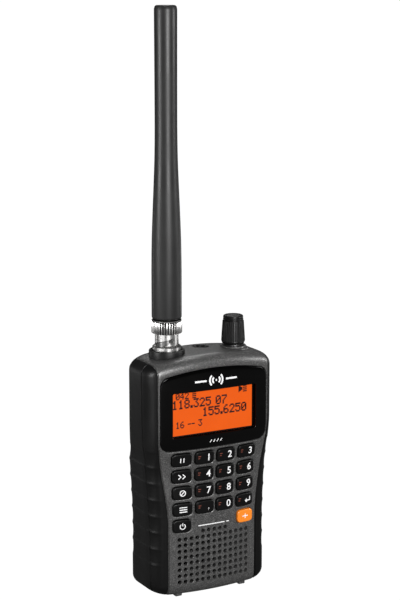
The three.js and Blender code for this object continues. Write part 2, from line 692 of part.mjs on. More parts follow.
const material = (color, roughness, metalness = 0) =>
  new THREE.MeshStandardMaterial({ color, roughness, metalness });
const MATERIALS = {
  panel: material(0x55544f, 0.45, 0.5),
  case: material(0x1b1b1c, 0.6),
  grip: material(0x161616, 0.8),
  lens: material(0x101214, 0.1),
  lcd: material(0xff6a1e, 0.4),
  key: material(0x0f1111, 0.5),
  functionKey: material(0xf59a2c, 0.5),
  nickel: material(0xc9cac8, 0.2, 1),
  rubber: material(0x2a2a2b, 0.7),
  board: material(0x1c4a2a, 0.5),
  darkPlastic: material(0x202020, 0.5),
  steel: material(0x8a8b8c, 0.35, 1),
  brass: material(0xb08d3c, 0.3, 1),
  paper: material(0x3a3a38, 0.9),
  cell: material(0x2f4a6a, 0.35, 0.3),
};

// ---------------------------------------------------------------- assembly

const scanner = new THREE.Group();

function add(name, solid, look) {
  const mesh = new THREE.Mesh(geometryOf(solid), MATERIALS[look]);
  mesh.name = name;
  scanner.add(mesh);
}

const outer = skin(false).subtract(scallops());
const shell = outer.subtract(skin(true));

add("front_panel", frontPanel(shell), "panel");
add("rear_case", rearCase(shell, outer), "case");
add("left_grip", grip(shell, -1), "grip");
add("right_grip", grip(shell, 1), "grip");
add("battery_cover", batteryCover(outer), "case");
add("display_lens", outer.intersect(prismY(lensOutline(-GAP / 3), -20, LENS.back)), "lens");

add("lcd_frame", lcdFrame(), "darkPlastic");
add("lcd_glass", box(-24.3, 24.3, -12.05, -10.9, 77.3, 102.2), "lcd");
add("backlight_guide", box(-24.3, 24.3, -10.6, -9.7, 77.3, 102.2), "lcd");
add("keypad_mat", box(-23.5, 23.5, -9.7, -9.3, 31.5, 72.5), "rubber");
const controlHoles = [[-24, 106], [24, 106], [-24, 36], [24, 36]];
add("control_board", board(26.5, -9, -7.8, 33.6, 108, controlHoles), "board");
const radioHoles = [[-24, 67], [24, 67]];
add("radio_board", board(26.5, -5, -3.8, 65, 102, radioHoles), "board");
add("shield_can", box(-15, 15, -3.5, 1.5, 70, 96), "steel");
add("speaker_cloth", speakerCloth(), "paper");
add("speaker_basket", speakerBasket(), "steel");
add("speaker_cone", speakerCone(), "paper");
add("speaker_magnet", speakerMagnet(), "darkPlastic");

add("antenna_base_ring", aerialBaseRing(outer), "case");
add("antenna_jack", aerialJack(), "nickel");
add("spring_washer", springWasher(), "steel");
add("bayonet_collar", bayonetCollar(), "nickel");
add("antenna_plug", aerialPlug(), "brass");
add("plug_pin", plugPin(), "brass");
add("antenna_sleeve", aerialSleeve(), "rubber");
add("antenna_coil", wire(new Helix(AERIAL, 8, 2.6, 2.6, 142.5, 264), 0.45, 56), "brass");

add("encoder_housing", encoderHousing(), "steel");
const plunger = [[0, 107.9], [1.8, 107.9], [1.8, 109.2], [0, 109.2]];
add("encoder_plunger", turned(plunger, KNOB.x, KNOB.y, 10), "darkPlastic");
const shaft = [[0, 109.5], [2.6, 109.5], [2.6, 128.3], [0, 128.3]];
add("encoder_shaft", turned(shaft, KNOB.x, KNOB.y, 14), "steel");
add("tuning_knob", tuningKnob(), "rubber");
add("earphone_jack", earphoneJack(), "darkPlastic");
add("power_jack", powerJack(), "darkPlastic");

for (const place of keyPlaces())
  add(place.name, keySolid(place), place.name === "key_function" ? "functionKey" : "key");

for (const i of [-1, 0, 1]) {
  const x = i * CELL.pitch;
  const number = i + 2;
  add("battery_" + number, cell(x), "cell");
  const place = { x, y: CELL.y };
  add("contact_spring_" + number, wire(new Helix(place, 2.5, 4, 2.4, 6.9, 8), 0.3, 15), "steel");
}

add("belt_clip", beltClip(), "darkPlastic");
const clipScrewBack = BODY.backTop + GAP + 1.9;
const clipScrew = { x: 0, headBack: clipScrewBack, headRadius: 2.4, headDepth: 0.9, length: 5.6 };
add("clip_screw_upper", screw({ ...clipScrew, z: CLIP_SCREWS[1] }), "steel");
add("clip_screw_lower", screw({ ...clipScrew, z: CLIP_SCREWS[0] }), "steel");
const caseScrew = { ...CASE_SCREW, headRadius: 2.5, headDepth: 1.4, length: 5 };
add("case_screw_left", screw({ ...caseScrew, x: -CASE_SCREW.x }), "steel");
add("case_screw_right", screw(caseScrew), "steel");

// The origin is under the middle of the whole scanner, on the surface that it stands on.
const bounds = new THREE.Box3().setFromObject(scanner);
scanner.position.set(0, -(bounds.min.y + bounds.max.y) / 2, 0);

export default scanner;
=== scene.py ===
"""Handheld radio scanner: the visible pieces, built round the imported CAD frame.

Every sub-assembly is a class that holds its sizes in millimetres. Its place along Y is read from the
frame, so the meshes are modelled in the case's own datum and moved into the frame when finished.
"""

from __future__ import annotations

import json
import logging
import math
from collections.abc import Callable, Sequence
from dataclasses import dataclass, field
from enum import Enum

import bmesh
import bpy
import numpy as np
from mathutils import Matrix, Vector
from mathutils.bvhtree import BVHTree

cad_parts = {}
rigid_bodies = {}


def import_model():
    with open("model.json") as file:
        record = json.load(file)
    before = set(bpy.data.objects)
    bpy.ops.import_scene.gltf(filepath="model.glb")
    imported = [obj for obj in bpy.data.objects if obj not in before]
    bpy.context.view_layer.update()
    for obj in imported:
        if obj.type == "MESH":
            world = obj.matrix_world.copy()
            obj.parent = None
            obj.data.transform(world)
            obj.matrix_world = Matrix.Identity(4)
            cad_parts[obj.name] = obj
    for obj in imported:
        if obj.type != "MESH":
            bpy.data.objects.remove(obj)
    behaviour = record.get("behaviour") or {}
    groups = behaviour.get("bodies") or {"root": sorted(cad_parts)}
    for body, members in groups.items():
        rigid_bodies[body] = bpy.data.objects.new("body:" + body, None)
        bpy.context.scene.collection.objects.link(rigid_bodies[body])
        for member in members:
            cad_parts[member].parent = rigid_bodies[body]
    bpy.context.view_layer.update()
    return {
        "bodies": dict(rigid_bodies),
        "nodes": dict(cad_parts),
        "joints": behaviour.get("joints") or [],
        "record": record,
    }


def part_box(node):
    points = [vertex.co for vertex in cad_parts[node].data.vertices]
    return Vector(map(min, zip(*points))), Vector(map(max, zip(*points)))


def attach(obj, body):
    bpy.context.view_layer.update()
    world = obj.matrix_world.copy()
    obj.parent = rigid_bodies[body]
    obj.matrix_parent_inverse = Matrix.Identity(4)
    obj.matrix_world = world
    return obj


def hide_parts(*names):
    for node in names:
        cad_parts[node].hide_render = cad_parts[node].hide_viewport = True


LOG = logging.getLogger("scanner")
MM = 0.001
SMOOTH_ANGLE = math.radians(32)
CASE = "case"
GAP = 0.3
# Heights and a depth that lie clear of the whole case, in millimetres.
ABOVE = 124.0
BELOW = -4.0
AHEAD = -40.0
MARK_DEPTH = 0.06
# Blender's numbers for the colour sockets of a Mix node.
COLOUR_A, COLOUR_B, MIXED_COLOUR = 6, 7, 2

Piece = bpy.types.Object
Pair = tuple[float, float]
Triple = tuple[float, float, float]
Outline = Callable[[float], np.ndarray]
Surface = Callable[[np.ndarray, np.ndarray], np.ndarray]


# ---- shader maths


class Wire:
    """A shader socket that can be used in Python expressions."""

    def __init__(self, graph: Graph, socket: bpy.types.NodeSocket) -> None:
        """Wraps one output socket of a node in the graph."""
        self.graph = graph
        self.socket = socket

    def _math(self, operation: str, first: object, second: object) -> Wire:
        """Adds one Math node and returns its result."""
        return self.graph.node("ShaderNodeMath", {"operation": operation}, {0: first, 1: second})

    def __add__(self, other: object) -> Wire:
        """Self plus other."""
        return self._math("ADD", self, other)

    def __sub__(self, other: object) -> Wire:
        """Self minus other."""
        return self._math("SUBTRACT", self, other)

    def __rsub__(self, other: object) -> Wire:
        """Other minus self."""
        return self._math("SUBTRACT", other, self)

    def __mul__(self, other: object) -> Wire:
        """Self times other."""
        return self._math("MULTIPLY", self, other)

    def __pow__(self, other: object) -> Wire:
        """Self to the power of other."""
        return self._math("POWER", self, other)

    def __lt__(self, other: object) -> Wire:
        """One where self is less than other, else zero."""
        return self._math("LESS_THAN", self, other)

    __radd__ = __add__
    __rmul__ = __mul__

    def spread(self, low: float, high: float) -> Wire:
        """Maps a 0 to 1 value to the range from low to high."""
        return self * (high - low) + low


class Graph:
    """A material's node tree, with one method that makes every node."""

    def __init__(self, name: str) -> None:
        """Starts an empty material.

        Args:
            name: the material's name.
        """
        self.material = bpy.data.materials.new(name)
        self.material.use_nodes = True
        self.tree = self.material.node_tree
        self.tree.nodes.clear()

    def node(
        self,
        kind: str,
        settings: dict | None = None,
        inputs: dict | None = None,
        out: int | str = 0,
    ) -> Wire:
        """Makes a node.

        Args:
            kind: the node's type.
            settings: the node's own properties, set before its sockets.
            inputs: values or wires, by the socket's name or number.
            out: the output socket to return.

        Returns:
            The wire that leaves the node.
        """
        made = self.tree.nodes.new(kind)
        for key, value in (settings or {}).items():
            if key == "stops":
                self._stops(made.color_ramp, value)
            else:
                setattr(made, key, value)
        for key, value in (inputs or {}).items():
            if isinstance(value, Wire):
                self.tree.links.new(value.socket, made.inputs[key])
            else:
                made.inputs[key].default_value = value
        return Wire(self, made.outputs[out]) if made.outputs else Wire(self, None)

    @staticmethod
    def _stops(ramp: bpy.types.ColorRamp, stops: Sequence[Pair]) -> None:
        """Sets a grey ramp's stops, given as (position, grey) pairs."""
        while len(ramp.elements) < len(stops):
            ramp.elements.new(1.0)
        for element, (position, grey) in zip(ramp.elements, stops):
            element.position = position
            element.color = (grey, grey, grey, 1.0)

    def place(self) -> Wire:
        """The surface point in the object's own coordinates, in metres."""
        return self.node("ShaderNodeTexCoord", out="Object")

    def along(self, axis: int) -> Wire:
        """The surface point's X, Y or Z, in metres."""
        return self.node("ShaderNodeSeparateXYZ", {}, {0: self.place()}, out=axis)

    def noise(
        self,
        size_mm: float,
        detail: float = 2.0,
        roughness: float = 0.5,
        stretch: Vector | None = None,
    ) -> Wire:
        """Noise whose features are about size_mm across.

        Args:
            size_mm: the size of one feature.
            detail: the number of finer octaves.
            roughness: how strong the finer octaves are.
            stretch: how far the features are squeezed along each axis.

        Returns:
            The noise's value, about 0 to 1.
        """
        where = self.place()
        if stretch is not None:
            settings = {"operation": "MULTIPLY"}
            where = self.node("ShaderNodeVectorMath", settings, {0: where, 1: stretch})
        inputs = {"Vector": where, "Scale": 1.0 / (size_mm * MM), "Detail": detail, "Roughness": roughness}
        return self.node("ShaderNodeTexNoise", {}, inputs)

    def ramp(self, value: Wire, *stops: Pair) -> Wire:
        """Maps a value through grey stops of (position, grey)."""
        return self.node("ShaderNodeValToRGB", {"stops": stops}, {0: value})

    def blend(self, low: Sequence[float] | Wire, high: Sequence[float] | Wire, share: Wire) -> Wire:
        """Mixes two colours.

        Args:
            low: the colour at a share of 0.
            high: the colour at a share of 1.
            share: how much of the second colour is seen.

        Returns:
            The mixed colour.
        """
        inputs = {0: share}
        for place, colour in ((COLOUR_A, low), (COLOUR_B, high)):
            inputs[place] = colour if isinstance(colour, Wire) else (*colour, 1.0)
        return self.node("ShaderNodeMix", {"data_type": "RGBA"}, inputs, out=MIXED_COLOUR)

    def bump(self, height: Wire, depth_mm: float, strength: float = 1.0) -> Wire:
        """A bumped normal from a height of 0 to 1 that stands depth_mm tall."""
        inputs = {"Height": height, "Distance": depth_mm * MM, "Strength": strength}
        return self.node("ShaderNodeBump", {}, inputs)

    def surface(self, inputs: dict) -> bpy.types.Material:
        """Ends the graph in a Principled shader.

        Args:
            inputs: the shader's values or wires, by socket name.

        Returns:
            The finished material.
        """
        shader = self.node("ShaderNodeBsdfPrincipled", {}, inputs)
        self.node("ShaderNodeOutputMaterial", {}, {"Surface": shader})
        return self.material


def grey(level: float, warm: float = 0.0) -> Triple:
    """A linear grey, a little warm or cool."""
    return (level * (1 + warm), level, level * (1 - warm))


# ---- finishes


@dataclass(frozen=True)
class Moulding:
    """Moulded plastic or rubber with a spark-eroded texture."""

    colour: Triple
    roughness: float = 0.5
    grain_mm: float = 0.22
    relief_mm: float = 0.012
    mottle: float = 0.18
    specular: float = 0.5
    coat: float = 0.0

    def build(self, name: str) -> bpy.types.Material:
        """Makes the material: fine grain, slow mottling, and rubbed patches that shine more."""
        graph = Graph(name)
        grain = graph.noise(self.grain_mm, 3.0, 0.6)
        cloud = graph.noise(9.0, 3.0, 0.55)
        rubbed = graph.ramp(graph.noise(17.0, 4.0, 0.6), (0.42, 0.0), (0.68, 1.0))
        dark = tuple(c * (1 - self.mottle) for c in self.colour)
        light = tuple(c * (1 + self.mottle) for c in self.colour)
        return graph.surface(
            {
                "Base Color": graph.blend(dark, light, cloud * 0.65 + grain * 0.35),
                "Roughness": self.roughness + (grain - 0.5) * 0.12 - rubbed * 0.07,
                "Specular IOR Level": self.specular,
                "Coat Weight": self.coat,
                "Coat Roughness": 0.12,
                "Normal": graph.bump(grain, self.relief_mm),
            }
        )


@dataclass(frozen=True)
class MetallicPaint:
    """Satin paint with metal flakes, over moulded plastic."""

    colour: Triple
    flake: Triple
    metallic: float = 0.55
    roughness: float = 0.42

    def build(self, name: str) -> bpy.types.Material:
        """Makes the material: sparse lighter flakes, faint orange peel, and uneven satin."""
        graph = Graph(name)
        flake = graph.ramp(graph.noise(0.4, 2.0, 0.6), (0.48, 0.0), (0.7, 1.0))
        peel = graph.noise(0.9, 2.0, 0.5)
        cloud = graph.noise(14.0, 3.0, 0.5)
        dark, light = (tuple(c * by for c in self.colour) for by in (0.88, 1.12))
        body = graph.blend(dark, light, cloud)
        return graph.surface(
            {
                "Base Color": graph.blend(body, self.flake, flake * 0.6),
                "Metallic": flake.spread(self.metallic * 0.85, self.metallic),
                "Roughness": cloud.spread(self.roughness - 0.05, self.roughness + 0.05),
                "Coat Weight": 0.08,
                "Coat Roughness": 0.35,
                "Normal": graph.bump(peel * 0.4 + flake * 0.6, 0.016),
            }
        )


@dataclass(frozen=True)
class Plating:
    """Turned and plated metal."""

    colour: Triple
    roughness: float = 0.16
    tarnish: float = 0.25

    def build(self, name: str) -> bpy.types.Material:
        """Makes the material: fine turning marks round the Z axis and soft cloudy tarnish."""
        graph = Graph(name)
        marks = graph.noise(0.5, 2.0, 0.6, Vector((0.08, 0.08, 3.0)))
        cloud = graph.noise(2.5, 3.0, 0.6)
        dull = tuple(c * (1 - self.tarnish) for c in self.colour)
        return graph.surface(
            {
                "Base Color": graph.blend(self.colour, dull, cloud),
                "Metallic": 1.0,
                "Roughness": self.roughness + cloud * 0.12 + (marks - 0.5) * 0.08,
                "Normal": graph.bump(marks, 0.004),
            }
        )


@dataclass(frozen=True)
class KnurledPlating(Plating):
    """Plated metal with painted shade that darkens the knurled ring between its ridges."""

    axis: Pair = (-17.9, -4.65)
    root: float = 6.7
    crest: float = 7.05
    start: float = 126.4

    def build(self, name: str) -> bpy.types.Material:
        """Makes the plating and paints shade on whatever lies between the ridges.

        Args:
            name: the material's name.

        Returns:
            The plated material.
        """
        graph = Graph(name)
        across, back = (graph.along(i) * (1 / MM) - self.axis[i] for i in (0, 1))
        radius = (across * across + back * back) ** 0.5
        span = self.crest - self.root
        # Painted shade: the metal goes dark towards the valleys between the ridges, above where the knurl
        # starts.
        open_share = graph.ramp((radius - self.root) * (1 / span), (0.15, 0.0), (0.8, 1.0))
        below = graph.along(2) < self.start * MM
        unshaded = graph.node("ShaderNodeMath", {"operation": "MAXIMUM"}, {0: open_share, 1: below})
        cloud = graph.noise(2.5, 3.0, 0.6)
        return graph.surface(
            {
                "Base Color": graph.blend(grey(0.03), self.colour, unshaded),
                "Metallic": 1.0,
                "Roughness": self.roughness + cloud * 0.12 + (1.0 - unshaded) * 0.3,
            }
        )


@dataclass(frozen=True)
class GlossPrint:
    """A glossy moulding that is printed from behind."""

    colour: Triple
    roughness: float = 0.07

    def build(self, name: str) -> bpy.types.Material:
        """Makes the material: deep black with faint wipe marks in its polish."""
        graph = Graph(name)
        wipes = graph.noise(3.0, 4.0, 0.6, Vector((0.3, 1.0, 1.4)))
        smear = graph.ramp(wipes, (0.5, 0.0), (0.8, 1.0))
        return graph.surface(
            {
                "Base Color": graph.blend(self.colour, tuple(c * 1.6 for c in self.colour), smear),
                "Roughness": smear.spread(self.roughness, self.roughness + 0.07),
                "Specular IOR Level": 0.2,
                "Normal": graph.bump(graph.noise(6.0, 1.0, 0.4), 0.006),
            }
        )


@dataclass(frozen=True)
class ClearWindow:
    """The clear pane in front of the display."""

    tint: Triple = (0.01, 0.01, 0.01)

    def build(self, name: str) -> bpy.types.Material:
        """Makes the material: a thin polished pane that shows what is behind it."""
        graph = Graph(name)
        haze = graph.noise(4.0, 2.0, 0.5)
        return graph.surface(
            {
                "Base Color": (*self.tint, 1.0),
                "Roughness": haze.spread(0.02, 0.05),
                "IOR": 1.3,
                "Alpha": haze.spread(0.03, 0.06),
            }
        )


@dataclass(frozen=True)
class LitDisplay:
    """A backlit liquid-crystal panel: it glows, brighter near its lamps, behind a faint grid."""

    glow: Triple
    edge: Triple
    strength: float = 0.9
    pitch_mm: float = 0.42

    def build(self, name: str) -> bpy.types.Material:
        """Makes the material.

        Args:
            name: the material's name.

        Returns:
            The glowing material.
        """
        graph = Graph(name)
        grid = self._line(graph, graph.along(0)) * self._line(graph, graph.along(2))
        lamp = graph.noise(16.0, 1.0, 0.4)
        colour = graph.blend(self.edge, self.glow, grid * 0.22 + lamp * 0.5 + 0.4)
        return graph.surface(
            {
                "Base Color": (*grey(0.004), 1.0),
                "Roughness": 0.4,
                "Specular IOR Level": 0.06,
                "Emission Color": colour,
                "Emission Strength": self.strength,
            }
        )

    def _line(self, graph: Graph, place: Wire) -> Wire:
        """One inside a cell of the grid and zero in the dark line between two."""
        turns = place * (2 * math.pi / (self.pitch_mm * MM))
        wave = graph.node("ShaderNodeMath", {"operation": "COSINE"}, {0: turns})
        return graph.ramp(wave * 0.5 + 0.5, (0.02, 0.0), (0.2, 1.0))


@dataclass(frozen=True)
class PrintedMark:
    """Opaque ink or paint on a surface."""

    colour: Triple
    roughness: float = 0.55

    def build(self, name: str) -> bpy.types.Material:
        """Makes the material: ink that is a little thin in places."""
        graph = Graph(name)
        thin = graph.ramp(graph.noise(0.35, 3.0, 0.6), (0.3, 0.0), (0.75, 1.0))
        pale = tuple(c * 0.86 for c in self.colour)
        ink = graph.blend(pale, self.colour, thin)
        return graph.surface({"Base Color": ink, "Roughness": self.roughness})


@dataclass(frozen=True)
class CircuitBoard:
    """Green solder mask over copper traces."""

    mask: Triple = (0.012, 0.075, 0.028)
    copper: Triple = (0.03, 0.16, 0.06)

    def build(self, name: str) -> bpy.types.Material:
        """Makes the material: blocky traces under a glossy mask."""
        graph = Graph(name)
        inputs = {"Vector": graph.place(), "Scale": 1.0 / (2.2 * MM)}
        cells = graph.node("ShaderNodeTexVoronoi", {"distance": "CHEBYCHEV"}, inputs)
        trace = graph.ramp(cells, (0.32, 0.0), (0.36, 1.0))
        return graph.surface(
            {
                "Base Color": graph.blend(self.mask, self.copper, trace),
                "Roughness": trace.spread(0.3, 0.42),
                "Normal": graph.bump(trace, 0.02),
            }
        )


@dataclass(frozen=True)
class FibrePaper:
    """Pressed paper or woven cloth of a loudspeaker."""

    colour: Triple
    thread_mm: float = 0.5

    def build(self, name: str) -> bpy.types.Material:
        """Makes the material: short crossed fibres."""
        graph = Graph(name)
        flat = graph.noise(self.thread_mm, 3.0, 0.7, Vector((1.0, 1.0, 4.0)))
        tall = graph.noise(self.thread_mm, 3.0, 0.7, Vector((4.0, 1.0, 1.0)))
        weave = flat * 0.5 + tall * 0.5
        light = tuple(c * 1.7 for c in self.colour)
        return graph.surface(
            {
                "Base Color": graph.blend(self.colour, light, weave),
                "Roughness": weave.spread(0.8, 0.98),
                "Specular IOR Level": 0.1,
                "Normal": graph.bump(weave, 0.08),
            }
        )


@dataclass(frozen=True)
class FoilWrap:
    """A dry cell's printed wrap: a dark body with a bright band at the positive end."""

    body: Triple
    band: Triple
    split_mm: float = 40.0

    def build(self, name: str) -> bpy.types.Material:
        """Makes the material: two colours that meet at one height."""
        graph = Graph(name)
        lower = graph.along(2) < self.split_mm * MM
        scuff = graph.noise(1.5, 3.0, 0.6)
        return graph.surface(
            {
                "Base Color": graph.blend(self.band, self.body, lower),
                "Metallic": 0.35,
                "Roughness": scuff.spread(0.25, 0.4),
            }
        )


FINISHES = {
    "panel_grey": MetallicPaint(grey(0.062, 0.01), grey(0.34, 0.01), roughness=0.36),
    "case_black": Moulding(grey(0.004), 0.44, 0.28, 0.016, specular=0.25),
    "grip_rubber": Moulding(grey(0.003), 0.4, 0.2, 0.01, specular=0.25),
    "lens_black": GlossPrint(grey(0.001)),
    "lcd_orange": LitDisplay((1.0, 0.135, 0.007), (0.82, 0.085, 0.003), 0.98),
    "light_guide": GlossPrint((0.8, 0.35, 0.1), 0.25),
    "black_plastic": Moulding(grey(0.003), 0.45, specular=0.24),
    "silicone_mat": Moulding(grey(0.04), 0.7),
    "board_green": CircuitBoard(),
    "sheet_metal": Plating(grey(0.5), 0.3),
    "magnet_ferrite": Moulding(grey(0.03), 0.6),
    "speaker_paper": FibrePaper(grey(0.002)),
    "bright_nickel": Plating(grey(0.74, 0.012), 0.1, 0.2),
    # Nickel made darker to paint the shade on the jack where it sits inside the collar.
    "dull_nickel": Plating(grey(0.22, 0.01), 0.24, 0.3),
    # The knurled collar's nickel carries painted shade between its ridges.
    "knurled_nickel": KnurledPlating(grey(0.78, 0.012), 0.2, 0.2),
    "steel": Plating(grey(0.32), 0.28),
    "brass": Plating((0.62, 0.42, 0.16), 0.22),
    "antenna_rubber": Moulding(grey(0.016), 0.4, 0.35, 0.01, 0.12, 0.3),
    "knob_black": Moulding(grey(0.004), 0.38, 0.2, 0.006, specular=0.28),
    "cell_wrap": FoilWrap((0.02, 0.05, 0.12), (0.5, 0.3, 0.08)),
    "clip_black": Moulding(grey(0.007), 0.48, 0.25, 0.014, specular=0.3),
    "key_black": Moulding(grey(0.0025), 0.36, 0.16, 0.006, specular=0.2, coat=0.03),
    "key_amber": Moulding((0.8, 0.22, 0.016), 0.32, 0.3, 0.004, 0.08, coat=0.4),
    "matt_black": Moulding(grey(0.001), 0.8, specular=0.0),
    "clear": ClearWindow(),
    "ink_white": PrintedMark(grey(0.82)),
    "ink_red": PrintedMark((0.2, 0.045, 0.025)),
    "ink_lcd": PrintedMark((0.03, 0.001, 0.0005), 0.5),
}


class Paint:
    """The materials that are in use, each built once."""

    def __init__(self) -> None:
        """Starts with no materials."""
        self.made: dict[str, bpy.types.Material] = {}

    def get(self, name: str) -> bpy.types.Material:
        """Returns a material by its slot's, ink's or finish's name, building it at first use."""
        if name not in self.made:
            self.made[name] = FINISHES[name].build(name)
        return self.made[name]


# ---- solids


class Cut(Enum):
    """How a tool changes a solid."""

    JOIN = "UNION"
    REMOVE = "DIFFERENCE"
    KEEP = "INTERSECT"


def linked(name: str, data: bpy.types.ID) -> Piece:
    """Makes an object that shows the data, and puts it in the scene."""
    made = bpy.data.objects.new(name, data)
    bpy.context.scene.collection.objects.link(made)
    return made


def points_of(obj: Piece) -> np.ndarray:
    """The mesh's points, one row each."""
    flat = np.empty(len(obj.data.vertices) * 3)
    obj.data.vertices.foreach_get("co", flat)
    return flat.reshape(-1, 3)


def put_points(obj: Piece, points: np.ndarray) -> None:
    """Sets the mesh's points, one row each."""
    obj.data.vertices.foreach_set("co", points.ravel())


def round_turns(sides: int) -> np.ndarray:
    """The angles of equally many steps round a full turn."""
    return np.linspace(0, 2 * math.pi, sides, endpoint=False)


def solid(name: str, verts: np.ndarray, faces: Sequence[Sequence[int]]) -> Piece:
    """Makes a closed mesh object, in millimetres, with its faces turned outwards.

    Args:
        name: the object's name.
        verts: the corners.
        faces: the corners of each face.

    Returns:
        The object, linked to the scene.
    """
    mesh = bpy.data.meshes.new(name)
    mesh.from_pydata(np.asarray(verts, float).tolist(), [], [list(f) for f in faces])
    shape = bmesh.new()
    shape.from_mesh(mesh)
    bmesh.ops.remove_doubles(shape, verts=shape.verts, dist=1e-5)
    bmesh.ops.recalc_face_normals(shape, faces=shape.faces)
    shape.to_mesh(mesh)
    shape.free()
    return linked(name, mesh)


def loft(name: str, rings: Sequence[np.ndarray]) -> Piece:
    """Joins rings of points into one closed skin, with a fan at each end.

    Args:
        name: the object's name.
        rings: the rings in order, each with equally many points.

    Returns:
        The closed skin.
    """
    stack = np.asarray(rings, float)
    count, around = stack.shape[:2]
    verts = np.concatenate([stack.reshape(-1, 3), stack[0].mean(0)[None], stack[-1].mean(0)[None]])
    faces: list[tuple[int, ...]] = []
    for i in range(count - 1):
        for j in range(around):
            a, b = i * around + j, i * around + (j + 1) % around
            faces.append((a, b, b + around, a + around))
    low, high, last = count * around, count * around + 1, (count - 1) * around
    for j in range(around):
        following = (j + 1) % around
        faces.append((low, following, j))
        faces.append((high, last + j, last + following))
    return solid(name, verts, faces)


def fillet(points: Sequence[Pair], radius: float, steps: int = 4) -> list[Pair]:
    """Rounds the inner corners of an open profile.

    Args:
        points: the profile's corners.
        radius: how far each corner is cut back along its two sides.
        steps: the number of segments in each rounded corner.

    Returns:
        The rounded profile, with its two ends unchanged.
    """
    corners = [np.array(p, float) for p in points]
    out = [corners[0]]
    for before, corner, after in zip(corners, corners[1:], corners[2:]):
        back, on = before - corner, after - corner
        reach = min(radius, 0.45 * float(np.hypot(*back)), 0.45 * float(np.hypot(*on)))
        start = corner + back / np.hypot(*back) * reach
        end = corner + on / np.hypot(*on) * reach
        for t in np.linspace(0, 1, steps + 1):
            out.append((1 - t) ** 2 * start + 2 * t * (1 - t) * corner + t * t * end)
    out.append(corners[-1])
    return [tuple(p) for p in out]


def turned(name: str, profile: Sequence[Pair], axis: Pair, sides: int = 64) -> Piece:
    """Turns a profile, which starts and ends on the axis, about a vertical axis.

    Args:
        name: the object's name.
        profile: the (radius, z) pairs.
        axis: the axis's x and y.
        sides: the number of faces round it.

    Returns:
        The turned solid.
    """
    angles = round_turns(sides)
    rings = []
    for r, z in profile:
        if r > 0:
            x, y = axis[0] + r * np.cos(angles), axis[1] + r * np.sin(angles)
            rings.append(np.stack([x, y, np.full(sides, z)], 1))
    return loft(name, rings)


def hollow_turned(name: str, profile: Sequence[Pair], axis: Pair, sides: int = 64) -> Piece:
    """Turns a closed profile that doesn't touch the vertical axis, which makes a ring.

    Args:
        name: the object's name.
        profile: the (radius, z) pairs.
        axis: the axis's x and y.
        sides: the number of faces round it.

    Returns:
        The ring.
    """
    angles = round_turns(sides)
    count = len(profile)
    verts = []
    for r, z in profile:
        verts += [(axis[0] + r * math.cos(a), axis[1] + r * math.sin(a), z) for a in angles]
    faces = []
    for i in range(count):
        for j in range(sides):
            a, b = i * sides + j, i * sides + (j + 1) % sides
            over = ((i + 1) % count - i) * sides
            faces.append((a, b, b + over, a + over))
    return solid(name, np.array(verts), faces)


def prism(name: str, outline: np.ndarray, low: float, high: float, axis: str = "y") -> Piece:
    """Pushes a flat outline along an axis.

    Args:
        name: the object's name.
        outline: points in the two other axes, in the order x, y, z.
        low: where the prism starts.
        high: where it ends.
        axis: the axis that it is pushed along.

    Returns:
        The prism.
    """
    column = "xyz".index(axis)
    others = [k for k in range(3) if k != column]
    count = len(outline)
    verts = np.zeros((2 * count, 3))
    for side, at in enumerate((low, high)):
        verts[side * count : (side + 1) * count, others] = outline
        verts[side * count : (side + 1) * count, column] = at
    faces: list[Sequence[int]] = [list(range(count)), list(range(count, 2 * count))]
    for j in range(count):
        following = (j + 1) % count
        faces.append((j, following, count + following, count + j))
    return solid(name, verts, faces)


def brick(name: str, low: Sequence[float], high: Sequence[float]) -> Piece:
    """A box between two corners."""
    outline = np.array([(low[0], low[2]), (high[0], low[2]), (high[0], high[2]), (low[0], high[2])])
    return prism(name, outline, low[1], high[1])


def rounded_rectangle(
    x: float, z: float, width: float, height: float, corner: float, sides: int = 5
) -> Outline:
    """A rounded rectangle's outline as a function of how far it is grown.

    Args:
        x: its centre across.
        z: its centre's height.
        width: its full width.
        height: its full height.
        corner: the radius of its corners.
        sides: the number of segments along each side.

    Returns:
        The outline.
    """

    def outline(grow: float) -> np.ndarray:
        """Points of the outline, grown by some millimetres."""
        w, h, r = width / 2 + grow, height / 2 + grow, max(corner + grow, 0.02)
        points: list[Pair] = []
        for k, (sx, sz) in enumerate(((1, 1), (-1, 1), (-1, -1), (1, -1))):
            bend = [
                (x + sx * (w - r) + r * math.cos(turn), z + sz * (h - r) + r * math.sin(turn))
                for turn in np.linspace(k * math.pi / 2, (k + 1) * math.pi / 2, 7)
            ]
            if points:
                points += along_line(points[-1], bend[0], sides)
            points += bend
        return np.array(points + along_line(points[-1], points[0], sides))

    return outline


def along_line(start: Sequence[float], end: Sequence[float], parts: int) -> list[Pair]:
    """The points that divide a line into equal parts, without its ends."""
    shares = np.linspace(0, 1, parts + 1)[1:-1]
    return [tuple(a + (b - a) * share for a, b in zip(start, end)) for share in shares]


def ring_on(outline: np.ndarray, y: np.ndarray | float) -> np.ndarray:
    """Stands an x, z outline up at the depth y."""
    return np.stack([outline[:, 0], np.broadcast_to(y, len(outline)), outline[:, 1]], 1)


def plate(
    name: str, outline: Outline, front: Surface, back: float, edge: float = 0.4, shares: int = 7
) -> Piece:
    """A plate with a curved front, a rounded front edge and a flat back.

    Args:
        name: the object's name.
        outline: the plate's outline, as a function of how far it is grown.
        front: the y of the front surface at x, z.
        back: the y of the flat back.
        edge: the radius of the front edge.
        shares: the number of rings between the edge and the middle.

    Returns:
        The plate.
    """
    full = outline(0.0)
    rings = [ring_on(full, back)]
    for turn in np.linspace(0, math.pi / 2, 6):
        points = outline(-edge * (1 - math.cos(turn)))
        rings.append(ring_on(points, front(points[:, 0], points[:, 1]) + edge * (1 - math.sin(turn))))
    inner = outline(-edge)
    middle = inner.mean(0)
    for share in np.linspace(1, 0, shares + 1)[1:-1]:
        points = middle + (inner - middle) * share
        rings.append(ring_on(points, front(points[:, 0], points[:, 1])))
    return loft(name, rings)


